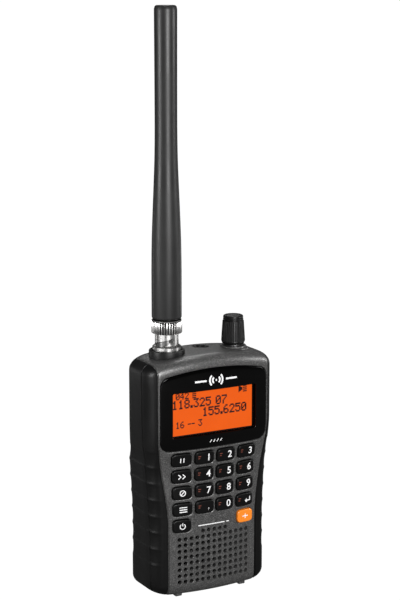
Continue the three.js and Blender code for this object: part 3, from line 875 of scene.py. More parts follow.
def pocket(
    name: str, outline: Outline, front: Surface, back: float, rim: float, grow: float = 0.0
) -> Piece:
    """A cutting tool for a hole that goes in from the front and has a chamfered rim.

    Args:
        name: the object's name.
        outline: the hole's outline, as a function of how far it is grown.
        front: the y of the front surface at x, z.
        back: the y of the hole's end.
        rim: the width of the chamfer.
        grow: how far the whole hole is grown.

    Returns:
        The tool.
    """
    rings = [ring_on(outline(grow + rim), -25.0)]
    for out, depth in ((rim, -0.02), (rim * 0.35, rim * 0.3), (0.0, rim)):
        points = outline(grow + out)
        rings.append(ring_on(points, front(points[:, 0], points[:, 1]) + depth))
    rings.append(ring_on(outline(grow), back))
    return loft(name, rings)


def tube(name: str, path: Sequence[Sequence[float]], radius: float, sides: int = 10) -> Piece:
    """A round rod along a path, closed at both ends.

    Args:
        name: the object's name.
        path: the points of its middle line.
        radius: its radius.
        sides: the number of faces round it.

    Returns:
        The rod.
    """
    points = np.array(path, float)
    along = np.gradient(points, axis=0)
    along /= np.linalg.norm(along, axis=1)[:, None]
    side = np.cross(along[0], (0.3, 0.5, 0.8))
    angles = round_turns(sides)
    rings = []
    for point, ahead in zip(points, along):
        side = side - ahead * float(side @ ahead)
        side = side / np.linalg.norm(side)
        other = np.cross(ahead, side)
        rings.append(point + radius * (np.cos(angles)[:, None] * side + np.sin(angles)[:, None] * other))
    return loft(name, rings)


def discard(obj: Piece) -> None:
    """Deletes an object and its mesh."""
    data = obj.data
    bpy.data.objects.remove(obj)
    bpy.data.meshes.remove(data)


def settle(obj: Piece) -> Piece:
    """Turns an object's modifiers into a plain mesh."""
    graph = bpy.context.evaluated_depsgraph_get()
    mesh = bpy.data.meshes.new_from_object(obj.evaluated_get(graph))
    old = obj.data
    obj.modifiers.clear()
    obj.data = mesh
    bpy.data.meshes.remove(old)
    return obj


def shape(base: Piece, how: Cut, *tools: Piece) -> Piece:
    """Joins or cuts a solid with each tool in turn, and deletes the tools.

    Args:
        base: the solid.
        how: what the tools do to it.
        tools: closed solids.

    Returns:
        The same object, changed.
    """
    for tool in tools:
        modifier = base.modifiers.new("cut", "BOOLEAN")
        modifier.operation = how.value
        modifier.solver = "MANIFOLD"
        modifier.object = tool
    settle(base)
    for tool in tools:
        discard(tool)
    return base


def copy_of(obj: Piece, name: str) -> Piece:
    """A second object with its own copy of the mesh."""
    return linked(name, obj.data.copy())


def bevelled(obj: Piece, width: float) -> Piece:
    """Rounds the sharp edges of a solid by some millimetres."""
    modifier = obj.modifiers.new("edges", "BEVEL")
    modifier.width = width
    modifier.segments = 3
    modifier.limit_method = "ANGLE"
    modifier.angle_limit = math.radians(40.0)
    return settle(obj)


# ---- repeated parts


class RepeatTree:
    """A Geometry Nodes tree that sets a part on each point of a carrier, or round a circle."""

    def __init__(self, name: str, circle: bool) -> None:
        """Builds the tree.

        Args:
            name: the tree's name.
            circle: whether the points are a circle's, or the carrier's own with a turn for each.
        """
        self.tree = bpy.data.node_groups.new(name, "GeometryNodeTree")
        self._socket("Geometry", "NodeSocketGeometry", "INPUT")
        self._socket("Part", "NodeSocketObject", "INPUT")
        self._socket("Count", "NodeSocketInt", "INPUT")
        self._socket("Radius", "NodeSocketFloat", "INPUT")
        self._socket("Finish", "NodeSocketMaterial", "INPUT")
        self._socket("Geometry", "NodeSocketGeometry", "OUTPUT")
        given = self.tree.nodes.new("NodeGroupInput")
        part = self._node("GeometryNodeObjectInfo", {"Object": given.outputs["Part"]})
        if circle:
            ring = {"Vertices": given.outputs["Count"], "Radius": given.outputs["Radius"]}
            points = self._node("GeometryNodeMeshCircle", ring).outputs[0]
            turn = self._circle_turn(given.outputs["Count"])
        else:
            points = given.outputs["Geometry"]
            named = self._node("GeometryNodeInputNamedAttribute", {"Name": "turn"}, data_type="FLOAT")
            turn = named.outputs[0]
        about = self._node("ShaderNodeCombineXYZ", {"Z": turn}).outputs[0]
        placed = {"Points": points, "Instance": part.outputs["Geometry"], "Rotation": about}
        copies = self._node("GeometryNodeInstanceOnPoints", placed)
        real = self._node("GeometryNodeRealizeInstances", {"Geometry": copies.outputs[0]})
        finish = {"Geometry": real.outputs[0], "Material": given.outputs["Finish"]}
        painted = self._node("GeometryNodeSetMaterial", finish)
        result = self.tree.nodes.new("NodeGroupOutput")
        self.tree.links.new(painted.outputs[0], result.inputs[0])

    def _socket(self, name: str, kind: str, direction: str) -> None:
        """Adds one socket to the tree's interface."""
        self.tree.interface.new_socket(name, in_out=direction, socket_type=kind)

    def _node(self, kind: str, inputs: dict, **settings: str) -> bpy.types.Node:
        """Makes a node from its settings and its sockets' values or links."""
        made = self.tree.nodes.new(kind)
        for key, value in settings.items():
            setattr(made, key, value)
        for key, value in inputs.items():
            if isinstance(value, bpy.types.NodeSocket):
                self.tree.links.new(value, made.inputs[key])
            else:
                made.inputs[key].default_value = value
        return made

    def _circle_turn(self, count: bpy.types.NodeSocket) -> bpy.types.NodeSocket:
        """The angle of each point round a circle."""
        index = self._node("GeometryNodeInputIndex", {})
        share = self._node("ShaderNodeMath", {0: index.outputs[0], 1: count}, operation="DIVIDE")
        full = self._node("ShaderNodeMath", {0: share.outputs[0], 1: 2 * math.pi}, operation="MULTIPLY")
        return full.outputs[0]

    def run(
        self,
        name: str,
        part: Piece,
        points: Sequence[Sequence[float]] = (),
        turns: Sequence[float] = (),
        count: int = 0,
        radius: float = 0.0,
    ) -> Piece:
        """Repeats a part, and deletes the part.

        Args:
            name: the new object's name.
            part: the part to repeat, modelled round the origin.
            points: where the copies go, when they don't go round a circle.
            turns: the angle about Z of each copy.
            count: the number of copies round a circle.
            radius: the circle's radius.

        Returns:
            One object that holds every copy as plain mesh.
        """
        mesh = bpy.data.meshes.new(name)
        mesh.from_pydata([tuple(p) for p in points], [], [])
        if len(points):
            attribute = mesh.attributes.new("turn", "FLOAT", "POINT")
            attribute.data.foreach_set("value", np.array(turns, np.float32))
        carrier = linked(name, mesh)
        modifier = carrier.modifiers.new("repeat", "NODES")
        modifier.node_group = self.tree
        values = {"Part": part, "Count": count, "Radius": radius}
        for item in self.tree.interface.items_tree:
            if item.in_out == "INPUT" and item.name in values:
                modifier[item.identifier] = values[item.name]
        settle(carrier)
        carrier.data.materials.clear()
        discard(part)
        return carrier


# ---- the case's shape


def ease(value: np.ndarray | float, low: float, high: float) -> np.ndarray:
    """Rises smoothly from 0 at low to 1 at high."""
    share = np.clip((np.asarray(value, float) - low) / (high - low), 0, 1)
    return share * share * (3 - 2 * share)


def between(low: float, high: float, share: np.ndarray | float) -> np.ndarray:
    """The value at a share of the way from low to high."""
    return low + (high - low) * np.asarray(share, float)


@dataclass(frozen=True)
class CaseShape:
    """The case's outer and inner skin, in its own datum: X across, Y front to back, Z up."""

    half_width: Pair = (31.2, 33.4)
    front: Pair = (-15.75, -17.3)
    inner_front: Pair = (-13.75, -13.1)
    back: Pair = (14.9, 12.8)
    bow: Pair = (1 / 266, 1 / 450)
    crown: float = 117.0
    crown_bow: float = 1 / 300
    floor: float = 1.0
    corner: Pair = (5.5, 9.5)
    corner_back: float = 7.5
    wall: float = 2.0
    over: Triple = (5.5, 5.0, 5.0)
    under: Triple = (8.0, 3.2, 5.5)
    rib_first: float = 16.8
    rib_pitch: float = 8.0
    rib_count: int = 7
    rib_depth: float = 0.38
    rib_width: float = 0.75

    def width_at(self, z: float) -> float:
        """Half the case's width at height z."""
        return float(between(*self.half_width, ease(z, 30, 84)))

    def swell(self, z: float) -> np.ndarray:
        """How far the front has changed from its lower to its upper shape at height z."""
        return ease(z, 58, 84)

    def back_at(self, z: float) -> np.ndarray:
        """The depth of the back at height z."""
        return between(*self.back, ease(z, 62, 74))

    def seam(self, z: np.ndarray | float) -> np.ndarray:
        """Half the front panel's width at height z."""
        return between(23.6, 29.5, ease(z, 34, 84))

    def scallop(self, z: float) -> float:
        """How far the finger scallops go in at height z, which is nothing on each narrow ridge."""
        share = (z - self.rib_first) / self.rib_pitch
        if not 0 < share < self.rib_count:
            return 0.0
        away = abs(share - round(share)) * self.rib_pitch
        ridge = math.exp(-((away / self.rib_width) ** 2))
        return self.rib_depth * (1 - ridge) * (0.6 + 0.4 * away / (self.rib_pitch / 2))

    def outline(self, z: float, inside: bool) -> np.ndarray:
        """The case's outline at height z.

        Args:
            z: the height.
            inside: whether it is the cavity's outline.

        Returns:
            Points in x and y, which start at the front centre.
        """
        wall = self.wall if inside else 0.0
        share = self.swell(z)
        a = self.width_at(z) - wall
        back = float(self.back_at(z)) - wall
        centre = float(between(*(self.inner_front if inside else self.front), share))
        bow = float(between(self.bow[0], 0.0 if inside else self.bow[1], share))
        corner_x, corner_y = self.corner[0] - wall / 2, self.corner[1] - wall
        radius = self.corner_back - wall
        straight = a - corner_x
        edge = centre + bow * straight**2
        right = [(x, centre + bow * x * x) for x in np.linspace(0, straight, 15)[:-1]]
        for turn in np.linspace(0, math.pi / 2, 12):
            right.append((straight + corner_x * math.sin(turn), edge + corner_y * (1 - math.cos(turn))))
        low, high = edge + corner_y, back - radius
        right += [(a, y) for y in np.linspace(low, high, 8)[1:-1]]
        for turn in np.linspace(0, math.pi / 2, 9):
            right.append((a - radius * (1 - math.cos(turn)), back - radius * (1 - math.sin(turn))))
        right += [(x, back) for x in np.linspace(a - radius, 0, 9)[1:]]
        points = np.array(right + [(-x, y) for x, y in right[-2:0:-1]])
        if not inside:
            grip = ease(np.abs(points[:, 0]) / a, 0.8, 0.98)
            points[:, 0] -= np.sign(points[:, 0]) * self.scallop(z) * grip
        return points

    def skin(self, name: str, inside: bool) -> Piece:
        """Lofts the outer skin, or the cavity.

        Args:
            name: the object's name.
            inside: whether it is the cavity.

        Returns:
            The closed skin.
        """
        wall = self.wall if inside else 0.0
        floor = self.floor + wall
        over, under = (np.array(r) - wall for r in (self.over, self.under))
        steps = 5 if inside else 9
        rings = []

        def add(z: float, inset_x: float, inset_y: float, height: Callable) -> None:
            """Adds one ring, pulled in towards the middle.

            Args:
                z: the height whose outline it takes.
                inset_x: how far it is pulled in across.
                inset_y: how far it is pulled in front to back.
                height: the ring's z at each x.
            """
            points = self.outline(z, inside)
            front, back = between(*self.front, self.swell(z)), self.back_at(z)
            middle, depth = (front + back) / 2, (back - front) / 2 - wall
            x = points[:, 0] * (1 - inset_x / (self.width_at(z) - wall))
            y = middle + (points[:, 1] - middle) * (1 - inset_y / depth)
            rings.append(np.stack([x, y, height(x)], 1))

        for turn in np.linspace(0, math.pi / 2, steps)[:-1]:
            out, up = 1 - math.sin(turn), 1 - math.cos(turn)
            level = floor + under[2] * up
            inset_x, inset_y = under[0] * out, under[1] * out
            add(floor + under[2], inset_x, inset_y, lambda x, z=level: np.full(len(x), z))
        ridges = self.rib_first + np.arange(self.rib_count + 1) * self.rib_pitch
        steps_off = np.array([-3.2, -2.2, -1.4, -0.9, -0.5, -0.2, 0, 0.2, 0.5, 0.9, 1.4, 2.2, 3.2, 4.0])
        ribs = (ridges[:, None] + steps_off).ravel()
        heights = [floor + under[2], 11.0, 13.5, *ribs, 81.0, 84.0]
        for level in heights:
            add(level, 0, 0, lambda x, z=level: np.full(len(x), z))
        for share in (0.2, 0.4, 0.6, 0.8):
            add(100, 0, 0, lambda x, s=share: between(84, self.top(x) - wall - over[2], s))
        for turn in np.linspace(0, math.pi / 2, steps):
            out, down = 1 - math.cos(turn), 1 - math.sin(turn)
            inset_x, inset_y = over[0] * out, over[1] * out
            add(100, inset_x, inset_y, lambda x, d=down: self.top(x) - wall - over[2] * d)
        last, y0 = rings[-1], (self.front[1] + self.back[1]) / 2
        for share in (0.9, 0.8, 0.7, 0.6, 0.5, 0.4, 0.3, 0.2, 0.1):
            x = last[:, 0] * share
            rings.append(np.stack([x, y0 + (last[:, 1] - y0) * share, self.top(x) - wall], 1))
        return loft(name, rings)

    def top(self, x: np.ndarray | float) -> np.ndarray:
        """The height of the arched top."""
        return self.crown - self.crown_bow * np.asarray(x, float) ** 2


class Skin:
    """Finds points on the case's outer skin."""

    def __init__(self, obj: Piece) -> None:
        """Indexes the skin's faces."""
        data = obj.data
        faces = [tuple(p.vertices) for p in data.polygons]
        self.tree = BVHTree.FromPolygons([v.co.copy() for v in data.vertices], faces)

    def hit(self, start: Sequence[float], towards: Sequence[float]) -> Vector:
        """Where a ray meets the skin.

        Args:
            start: where the ray starts.
            towards: its direction.

        Returns:
            The first point that it meets.
        """
        point = self.tree.ray_cast(Vector(start), Vector(towards))[0]
        if point is None:
            raise ValueError(f"no skin ahead of {tuple(start)}")
        return point

    def front(self, x: np.ndarray, z: np.ndarray) -> np.ndarray:
        """The depth of the front surface at each x, z."""
        return np.array([self.hit((a, AHEAD, b), (0, 1, 0)).y for a, b in zip(x, z)])

    def raised(self, by: float) -> Surface:
        """The front surface, moved out of the case by some millimetres."""
        return lambda x, z: self.front(x, z) - by


# ---- the bench


def moved(obj: Piece, x: float = 0.0, y: float = 0.0, z: float = 0.0) -> Piece:
    """Moves an object's mesh."""
    put_points(obj, points_of(obj) + (x, y, z))
    return obj


def joined(name: str, parts: Sequence[Piece]) -> Piece:
    """Puts several meshes into one object without cutting them, and deletes the originals.

    Args:
        name: the new object's name.
        parts: the originals.

    Returns:
        The one object.
    """
    verts: list[Triple] = []
    faces: list[list[int]] = []
    for part in parts:
        start = len(verts)
        verts += [tuple(v.co) for v in part.data.vertices]
        faces += [[start + k for k in p.vertices] for p in part.data.polygons]
        discard(part)
    mesh = bpy.data.meshes.new(name)
    mesh.from_pydata(verts, [], faces)
    return linked(name, mesh)


class Bench:
    """Places finished pieces in the frame and gives them their finishes."""

    def __init__(self, frame: dict, shape_of_case: CaseShape) -> None:
        """Reads how far the frame is moved from the case's datum.

        Args:
            frame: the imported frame.
            shape_of_case: the case's sizes.
        """
        self.frame = frame
        self.case = shape_of_case
        self.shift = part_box("display_lens")[0].y / MM - shape_of_case.front[1]
        self.slots = {part["node"]: part["material_slot"] for part in frame["record"]["subparts"]}
        self.paint = Paint()
        self.ring = RepeatTree("ring_of_parts", circle=True)
        self.scatter = RepeatTree("parts_on_points", circle=False)
        self.outer = shape_of_case.skin("outer", inside=False)
        self.skin = Skin(self.outer)
        cavity = shape_of_case.skin("inner", inside=True)
        self.shell = shape(copy_of(self.outer, "shell"), Cut.REMOVE, cavity)

    def place(
        self,
        obj: Piece,
        name: str,
        node: str,
        body: str = CASE,
        finish: str = "",
        stands_for: bool = True,
        angle: float = SMOOTH_ANGLE,
    ) -> None:
        """Moves a piece into the frame and hands it over.

        Args:
            obj: the piece, in millimetres in the case's datum.
            name: its name.
            node: the CAD node that it belongs to.
            body: the body that it rides on.
            finish: its material, if it isn't its slot's own.
            stands_for: whether it is shown in place of the CAD node.
            angle: the angle past which an edge stays sharp.
        """
        slot = self.slots[node]
        obj.name = name
        obj.data.name = name
        moved(obj, y=self.shift)
        put_points(obj, points_of(obj) * MM)
        obj.data.materials.clear()
        obj.data.materials.append(self.paint.get(finish or slot))
        obj.data.polygons.foreach_set("material_index", np.zeros(len(obj.data.polygons), np.int32))
        obj.data.shade_smooth()
        obj.data.set_sharp_from_angle(angle=angle)
        obj.data.update()
        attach(obj, body)
        if stands_for:
            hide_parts(node)
        LOG.info("%s: %d faces, on %s, finish %s", name, len(obj.data.polygons), body, finish or slot)

    def mark(self, obj: Piece, name: str, node: str, body: str = CASE, ink: str = "ink_white") -> None:
        """Places a printed mark, which lies on a piece and stands for no node of its own."""
        self.place(obj, name, node, body, ink, stands_for=False)

    def dress_kept_nodes(self) -> None:
        """Gives every CAD node that is still shown its slot's finish."""
        for node, obj in self.frame["nodes"].items():
            if not obj.hide_render:
                obj.data.materials.clear()
                obj.data.materials.append(self.paint.get(self.slots[node]))
                LOG.info("%s: kept, finish %s", node, self.slots[node])


# ---- marks


def lettering(text: str, height: float, bold: float = 0.0) -> Piece:
    """Raised text that reads from -Y, centred on the origin.

    Args:
        text: what it says.
        height: the height of a digit.
        bold: how much thicker its strokes are made.

    Returns:
        The text as a mesh object.
    """
    curve = bpy.data.curves.new("text", "FONT")
    curve.body = text
    curve.size = height / 0.7
    curve.offset = bold
    curve.extrude = 0.03
    curve.resolution_u = 4
    curve.align_x = "CENTER"
    curve.align_y = "CENTER"
    holder = linked("text", curve)
    bpy.context.view_layer.update()
    graph = bpy.context.evaluated_depsgraph_get()
    mesh = bpy.data.meshes.new_from_object(holder.evaluated_get(graph))
    bpy.data.objects.remove(holder)
    bpy.data.curves.remove(curve)
    for vertex in mesh.vertices:
        x, y, z = vertex.co
        vertex.co = (x, -z, y)
    return linked("text", mesh)


def strokes(paths: Sequence[Sequence[Pair]], width: float) -> Piece:
    """Flat strokes in the x, z plane, with points close enough to follow a bowed surface.

    Args:
        paths: the middle line of each stroke, as (x, z) pairs.
        width: the strokes' width.

    Returns:
        One object that holds every stroke.
    """
    rods = []
    for path in paths:
        fine = [path[0]]
        for start, end in zip(path, path[1:]):
            parts = max(1, round(math.dist(start, end) / 0.8))
            fine += [*along_line(start, end, parts), end]
        rod = tube("stroke", [(x, 0.0, z) for x, z in fine], width / 2, 8)
        for vertex in rod.data.vertices:
            vertex.co.y *= MARK_DEPTH / width
        rods.append(rod)
    return joined("strokes", rods)


def arc(x: float, z: float, radius: float, start: float, end: float, steps: int = 12) -> list[Pair]:
    """Points of an arc between two angles in degrees."""
    turns = np.radians(np.linspace(start, end, steps))
    return [(x + radius * math.cos(t), z + radius * math.sin(t)) for t in turns]


def laid_on(obj: Piece, surface: Surface, x: float = 0.0, z: float = 0.0) -> Piece:
    """Moves flat marks to x, z and wraps them onto a surface.

    Args:
        obj: the marks, modelled round the origin.
        surface: the y of the surface at x, z.
        x: where the marks' origin goes across.
        z: the height where it goes.

    Returns:
        The same object.
    """
    moved(obj, x=x, z=z)
    points = points_of(obj)
    points[:, 1] += surface(points[:, 0], points[:, 2])
    put_points(obj, points)
    return obj


# ---- case


@dataclass(frozen=True)
class Regions:
    """Where the shell is divided into the front panel, the grips and the rear case."""

    case: CaseShape
    panel_front: float = -7.0
    panel_top: float = 8.0
    roof: float = 104.0
    grip_back: Pair = (-8.4, 0.029)

    def band(self, inset: float, low: float, high: float) -> Piece:
        """Everything between the panel's side seams, pulled in by inset."""
        heights = np.linspace(BELOW, ABOVE, 65)
        half = self.case.seam(heights) - inset
        outline = np.concatenate([np.stack([half, heights], 1), np.stack([-half, heights], 1)[::-1]])
        return prism("band", outline, low, high)

    def panel(self, inset: float) -> Piece:
        """The front panel's share: the front between the seams, and the top."""
        roof = shape(
            self.band(inset, -30, self.panel_top - inset),
            Cut.KEEP,
            brick("roof", (-40, -30, self.roof + inset), (40, 30, ABOVE)),
        )
        return shape(self.band(inset, -30, self.panel_front - inset), Cut.JOIN, roof)

    def grip_edge(self, z: float) -> float:
        """The depth of the grips' back edge at height z."""
        return self.grip_back[0] + self.grip_back[1] * (z - 10)

    def ahead_of_grips(self, by: float) -> Piece:
        """Everything in front of the grips' back edge."""
        low, high = self.grip_edge(BELOW) + by, self.grip_edge(ABOVE) + by
        outline = np.array([(-30, BELOW), (low, BELOW), (high, ABOVE), (-30, ABOVE)])
        return prism("ahead", outline, -40, 40, "x")


@dataclass(frozen=True)
class Seams:
    """The fine rounded grooves where two mouldings of the case meet."""

    regions: Regions
    skin: Skin
    radius: float = 0.52

    def tools(self) -> list[Piece]:
        """Makes a cutting rod for each seam."""
        paths = [self._panel_side(side) for side in (-1, 1)]
        paths += [self._grip_side(side) for side in (-1, 1)]
        paths.append(self._top_cross())
        return [tube("seam", path, self.radius, 10) for path in paths]

    def _panel_side(self, side: int) -> list[Vector]:
        """The seam beside the front panel, from the underside up and back over the top."""
        seam = self.regions.case.seam
        path = []
        base = side * float(seam(0))
        for turn in np.radians(np.arange(80, 0, -8)):
            path.append(self.skin.hit((base, -8, 10), (0, -math.cos(turn), -math.sin(turn))))
        for z in np.arange(10, 103, 1.5):
            path.append(self.skin.hit((side * float(seam(z)), AHEAD, z), (0, 1, 0)))
        upper = side * float(seam(ABOVE))
        for turn in np.radians(np.arange(2, 88, 4)):
            path.append(self.skin.hit((upper, -8, 103), (0, -math.cos(turn), math.sin(turn))))
        for y in np.linspace(-7.5, self.regions.panel_top, 9):
            path.append(self.skin.hit((upper, y, 140), (0, 0, -1)))
        return path

    def _grip_side(self, side: int) -> list[Vector]:
        """The seam behind a grip, down the side of the case."""
        case, edge = self.regions.case, self.regions.grip_edge
        path = []
        for turn in np.radians(np.arange(72, 0, -8)):
            towards = (side * math.cos(turn), 0, -math.sin(turn))
            path.append(self.skin.hit((side * 22, edge(10), 12), towards))
        for z in np.arange(12, 103, 1.0):
            path.append(self.skin.hit((side * 60, edge(z), z), (-side, 0, 0)))
        for turn in np.radians(np.arange(4, 80, 5)):
            towards = (side * math.cos(turn), 0, math.sin(turn))
            point = self.skin.hit((side * 24, edge(104), 103), towards)
            if abs(point.x) > case.seam(ABOVE) - GAP:
                path.append(point)
        return path

    def _top_cross(self) -> list[Vector]:
        """The seam behind the panel's top."""
        half, y = float(self.regions.case.seam(ABOVE)), self.regions.panel_top
        return [self.skin.hit((x, y, 140), (0, 0, -1)) for x in np.linspace(-half, half, 41)]


@dataclass(frozen=True)
class Lens:
    """The glossy bezel with its window."""

    half_width: float = 28.3
    base: float = 72.6
    top: float = 111.0
    corner: float = 4.5
    back: float = -14.5
    window: Triple = (22.2, 79.0, 100.4)
    pane: float = 0.9
    pane_back: float = -14.9
    mark_height: float = 105.0
    tick_base: float = 75.2

    def outline(self, grow: float) -> np.ndarray:
        """The bezel's outline, grown by some millimetres: straight sides and an arched top."""
        radius, x, low = self.corner + grow, self.half_width + grow, self.base - grow
        shoulder = self.top + grow - 2.6
        right = arc(x - radius, low + radius, radius, -90, 0, 9)
        right += [(x, z) for z in np.linspace(low + radius, shoulder - radius, 14)[1:-1]]
        right += arc(x - radius, shoulder - radius, radius, 0, 84, 9)
        start, crest = right[-1], (0.0, self.top + grow + 2.2)
        end = (-start[0], start[1])
        for t in np.linspace(0, 0.5, 12)[1:]:
            first, middle, last = (1 - t) ** 2, 2 * t * (1 - t), t * t
            right.append(tuple(first * start[k] + middle * crest[k] + last * end[k] for k in (0, 1)))
        foot = [(a, low) for a in np.linspace(0, x - radius, 10)[:-1]]
        half = foot + right
        return np.array(half + [(-a, b) for a, b in half[-2:0:-1]])

    def make(self, bench: Bench) -> None:
        """Makes the bezel, its window pane and its printed marks."""
        surface = bench.skin.front
        half, base, top = self.window
        hole = rounded_rectangle(0, (base + top) / 2, 2 * half, top - base, 0.8, 16)
        bezel = plate("bezel", lambda g: self.outline(g - 0.1), surface, self.back, 0.35, 9)
        shape(bezel, Cut.REMOVE, pocket("window", hole, surface, self.back + 1, 0.3))
        bench.place(bezel, "display_bezel", "display_lens", angle=math.radians(24))
        deep = bench.skin.raised(-self.pane)
        liner = plate("liner", lambda g: hole(g - 0.02), deep, self.pane_back, 0.05, 5)
        shape(liner, Cut.REMOVE, pocket("liner_bore", lambda g: hole(g - 0.25), surface, -14.0, 0.02))
        bench.place(liner, "display_window_liner", "display_lens", finish="matt_black", stands_for=False)
        pane = plate("pane", lambda g: hole(g - 0.27), deep, self.pane_back, 0.05, 5)
        bench.place(pane, "display_window", "display_lens", finish="clear")
        self._marks(bench)

    def _marks(self, bench: Bench) -> None:
        """Plain printed pictograms above and below the window."""
        level = self.mark_height
        above = [arc(0, level, r, side - 44, side + 44, 9) for r in (1.9, 3.4) for side in (0, 180)]
        above += [[(-0.3, level), (0.3, level)]]
        above += [[(side * 5.2, level), (side * 11.2, level)] for side in (-1, 1)]
        low = self.tick_base
        below = [[(x, low), (x + 0.9, low + 1.2)] for x in (-3.0, -1.2, 0.6, 2.4)]
        for paths, width, place in ((above, 0.9, "upper"), (below, 0.42, "lower")):
            printed = laid_on(strokes(paths, width), bench.skin.raised(0.02))
            bench.mark(printed, "bezel_mark_" + place, "display_lens")


@dataclass(frozen=True)
class Grille:
    """The drilled loudspeaker holes, each with a small countersink."""

    pitch: float = 3.02
    radius: float = 0.95
    columns: int = 13
    rows: int = 8
    extra: int = 5
    top: float = 28.8
    countersink: float = 0.16
    sides: int = 20

    def tool(self, bench: Bench) -> Piece:
        """Repeats one drill over the grille, square to the bowed surface."""
        rings = []
        turns = round_turns(self.sides)
        rim = self.radius + self.countersink
        for radius, y in ((rim + 0.2, -0.9), (rim + 0.02, -0.05), (self.radius, 0.22), (self.radius, 3.6)):
            x, z = radius * np.cos(turns), radius * np.sin(turns)
            rings.append(np.stack([x, np.full(self.sides, y), z], 1))
        drill = loft("drill", rings)
        points, lean = [], []
        half = (self.columns - 1) // 2
        for row in range(-1, self.rows):
            reach = (self.extra - 1) // 2 if row < 0 else half
            for column in range(-reach, reach + 1):
                x, z = column * self.pitch, self.top - row * self.pitch
                y = bench.skin.hit((x, AHEAD, z), (0, 1, 0)).y
                points.append((x, y, z))
                lean.append(math.atan(2 * bench.case.bow[0] * x))
        return bench.scatter.run("drills", drill, points, lean)


@dataclass(frozen=True)
class KeyPlace:
    """One key's name, centre and width."""

    name: str
    x: float
    z: float
    width: float


@dataclass(frozen=True)
class Keypad:
    """The eighteen keys and their printed legends."""

    top: float = 68.0
    pitch: float = 8.1
    height: float = 6.3
    corner: float = 1.5
    proud: float = 0.9
    clearance: float = 0.25
    flange: Pair = (-11.6, -11.0)
    rows: tuple[tuple[str, ...], ...] = (
        ("hold", "1", "2", "3"),
        ("scan", "4", "5", "6"),
        ("lockout", "7", "8", "9"),
        ("menu", "point", "0", "enter"),
        ("power", "", "", "function"),
    )

    def places(self) -> list[KeyPlace]:
        """Where each key stands: the columns draw in a little row by row."""
        found = []
        for row, names in enumerate(self.rows):
            last = row == len(self.rows) - 1
            outer = 17.0 if last else 17.5 - 0.28 * row
            inner = 5.75 - 0.13 * row
            width = 8.8 if last else 9.8 - 0.13 * row
            for name, x in zip(names, (-outer, -inner, inner, outer)):
                if name:
                    found.append(KeyPlace(name, x, self.top - self.pitch * row, width))
        return found

    def outline(self, place: KeyPlace) -> Outline:
        """A cap's outline, which bulges a little at its top and bottom."""
        flat = rounded_rectangle(place.x, place.z, place.width, self.height, self.corner)

        def bulged(grow: float) -> np.ndarray:
            """The outline, grown by some millimetres."""
            points = flat(grow)
            across = (points[:, 0] - place.x) / (place.width / 2)
            points[:, 1] -= 0.22 * np.sign(points[:, 1] - place.z) * across**2
            return points

        return bulged

    def pockets(self, bench: Bench) -> list[Piece]:
        """The holes that the keys stand in."""
        front, gap = bench.skin.front, self.clearance
        return [pocket("key_hole", self.outline(p), front, -8, 0.32, gap) for p in self.places()]

    def make(self, bench: Bench) -> None:
        """Makes every key with its legend."""
        for place in self.places():
            node = "key_" + place.name
            surface = bench.skin.raised(self.proud)
            cap = plate(node, self.outline(place), surface, self.flange[1], 0.55, 6)
            w, h = place.width / 2 + 0.5, self.height / 2 + 0.5
            low = (place.x - w, self.flange[0], place.z - h)
            rim = brick("rim", low, (place.x + w, self.flange[1] - 0.02, place.z + h))
            pin = brick("pin", (place.x - 1.2, -11.1, place.z - 1.2), (place.x + 1.2, -10.6, place.z + 1.2))
            shape(cap, Cut.JOIN, rim, pin)
            bench.place(cap, node + "_cap", node, node)
            printed = laid_on(self._legend(place), bench.skin.raised(self.proud + 0.015), place.x, place.z)
            bench.mark(printed, node + "_legend", node, node)
            if place.x > -10 and place.name != "function":
                dashes = strokes([[(-3.6, 0.9), (-2.2, 0.9)], [(-3.6, -0.1), (-2.6, -0.1)]], 0.34)
                small = laid_on(dashes, bench.skin.raised(self.proud + 0.015), place.x, place.z)
                bench.mark(small, node + "_mark", node, node, "ink_red")

    @staticmethod
    def _legend(place: KeyPlace) -> Piece:
        """A digit, or a plain pictogram for a key that has no digit."""
        if place.name.isdigit():
            return moved(lettering(place.name, 3.3, 0.06), x=1.9)
        pictures = {
            "hold": [[(-0.8, -1.1), (-0.8, 1.1)], [(0.8, -1.1), (0.8, 1.1)]],
            "scan": [[(-1.9, -1.1), (-0.6, 0), (-1.9, 1.1)], [(0.2, -1.1), (1.5, 0), (0.2, 1.1)]],
            "lockout": [arc(0, 0, 1.35, 0, 360, 22), [(-0.95, -0.95), (0.95, 0.95)]],
            "menu": [[(-1.9, z), (1.9, z)] for z in (-1.1, 0.0, 1.1)],
            "point": [[(1.7, -0.9), (1.9, -0.9)]],
            "enter": [[(3.0, 1.3), (3.0, -0.5), (0.4, -0.5)], [(1.2, 0.3), (0.4, -0.5), (1.2, -1.3)]],
            "power": [arc(0, -0.1, 1.3, 125, 415, 20), [(0, 0.2), (0, 1.6)]],
            "function": [[(-1.6, 0), (1.6, 0)], [(0, -1.2), (0, 1.2)]],
        }
        width = {"point": 1.2, "enter": 0.5, "lockout": 0.42, "power": 0.42}.get(place.name, 0.5)
        return strokes(pictures[place.name], width)


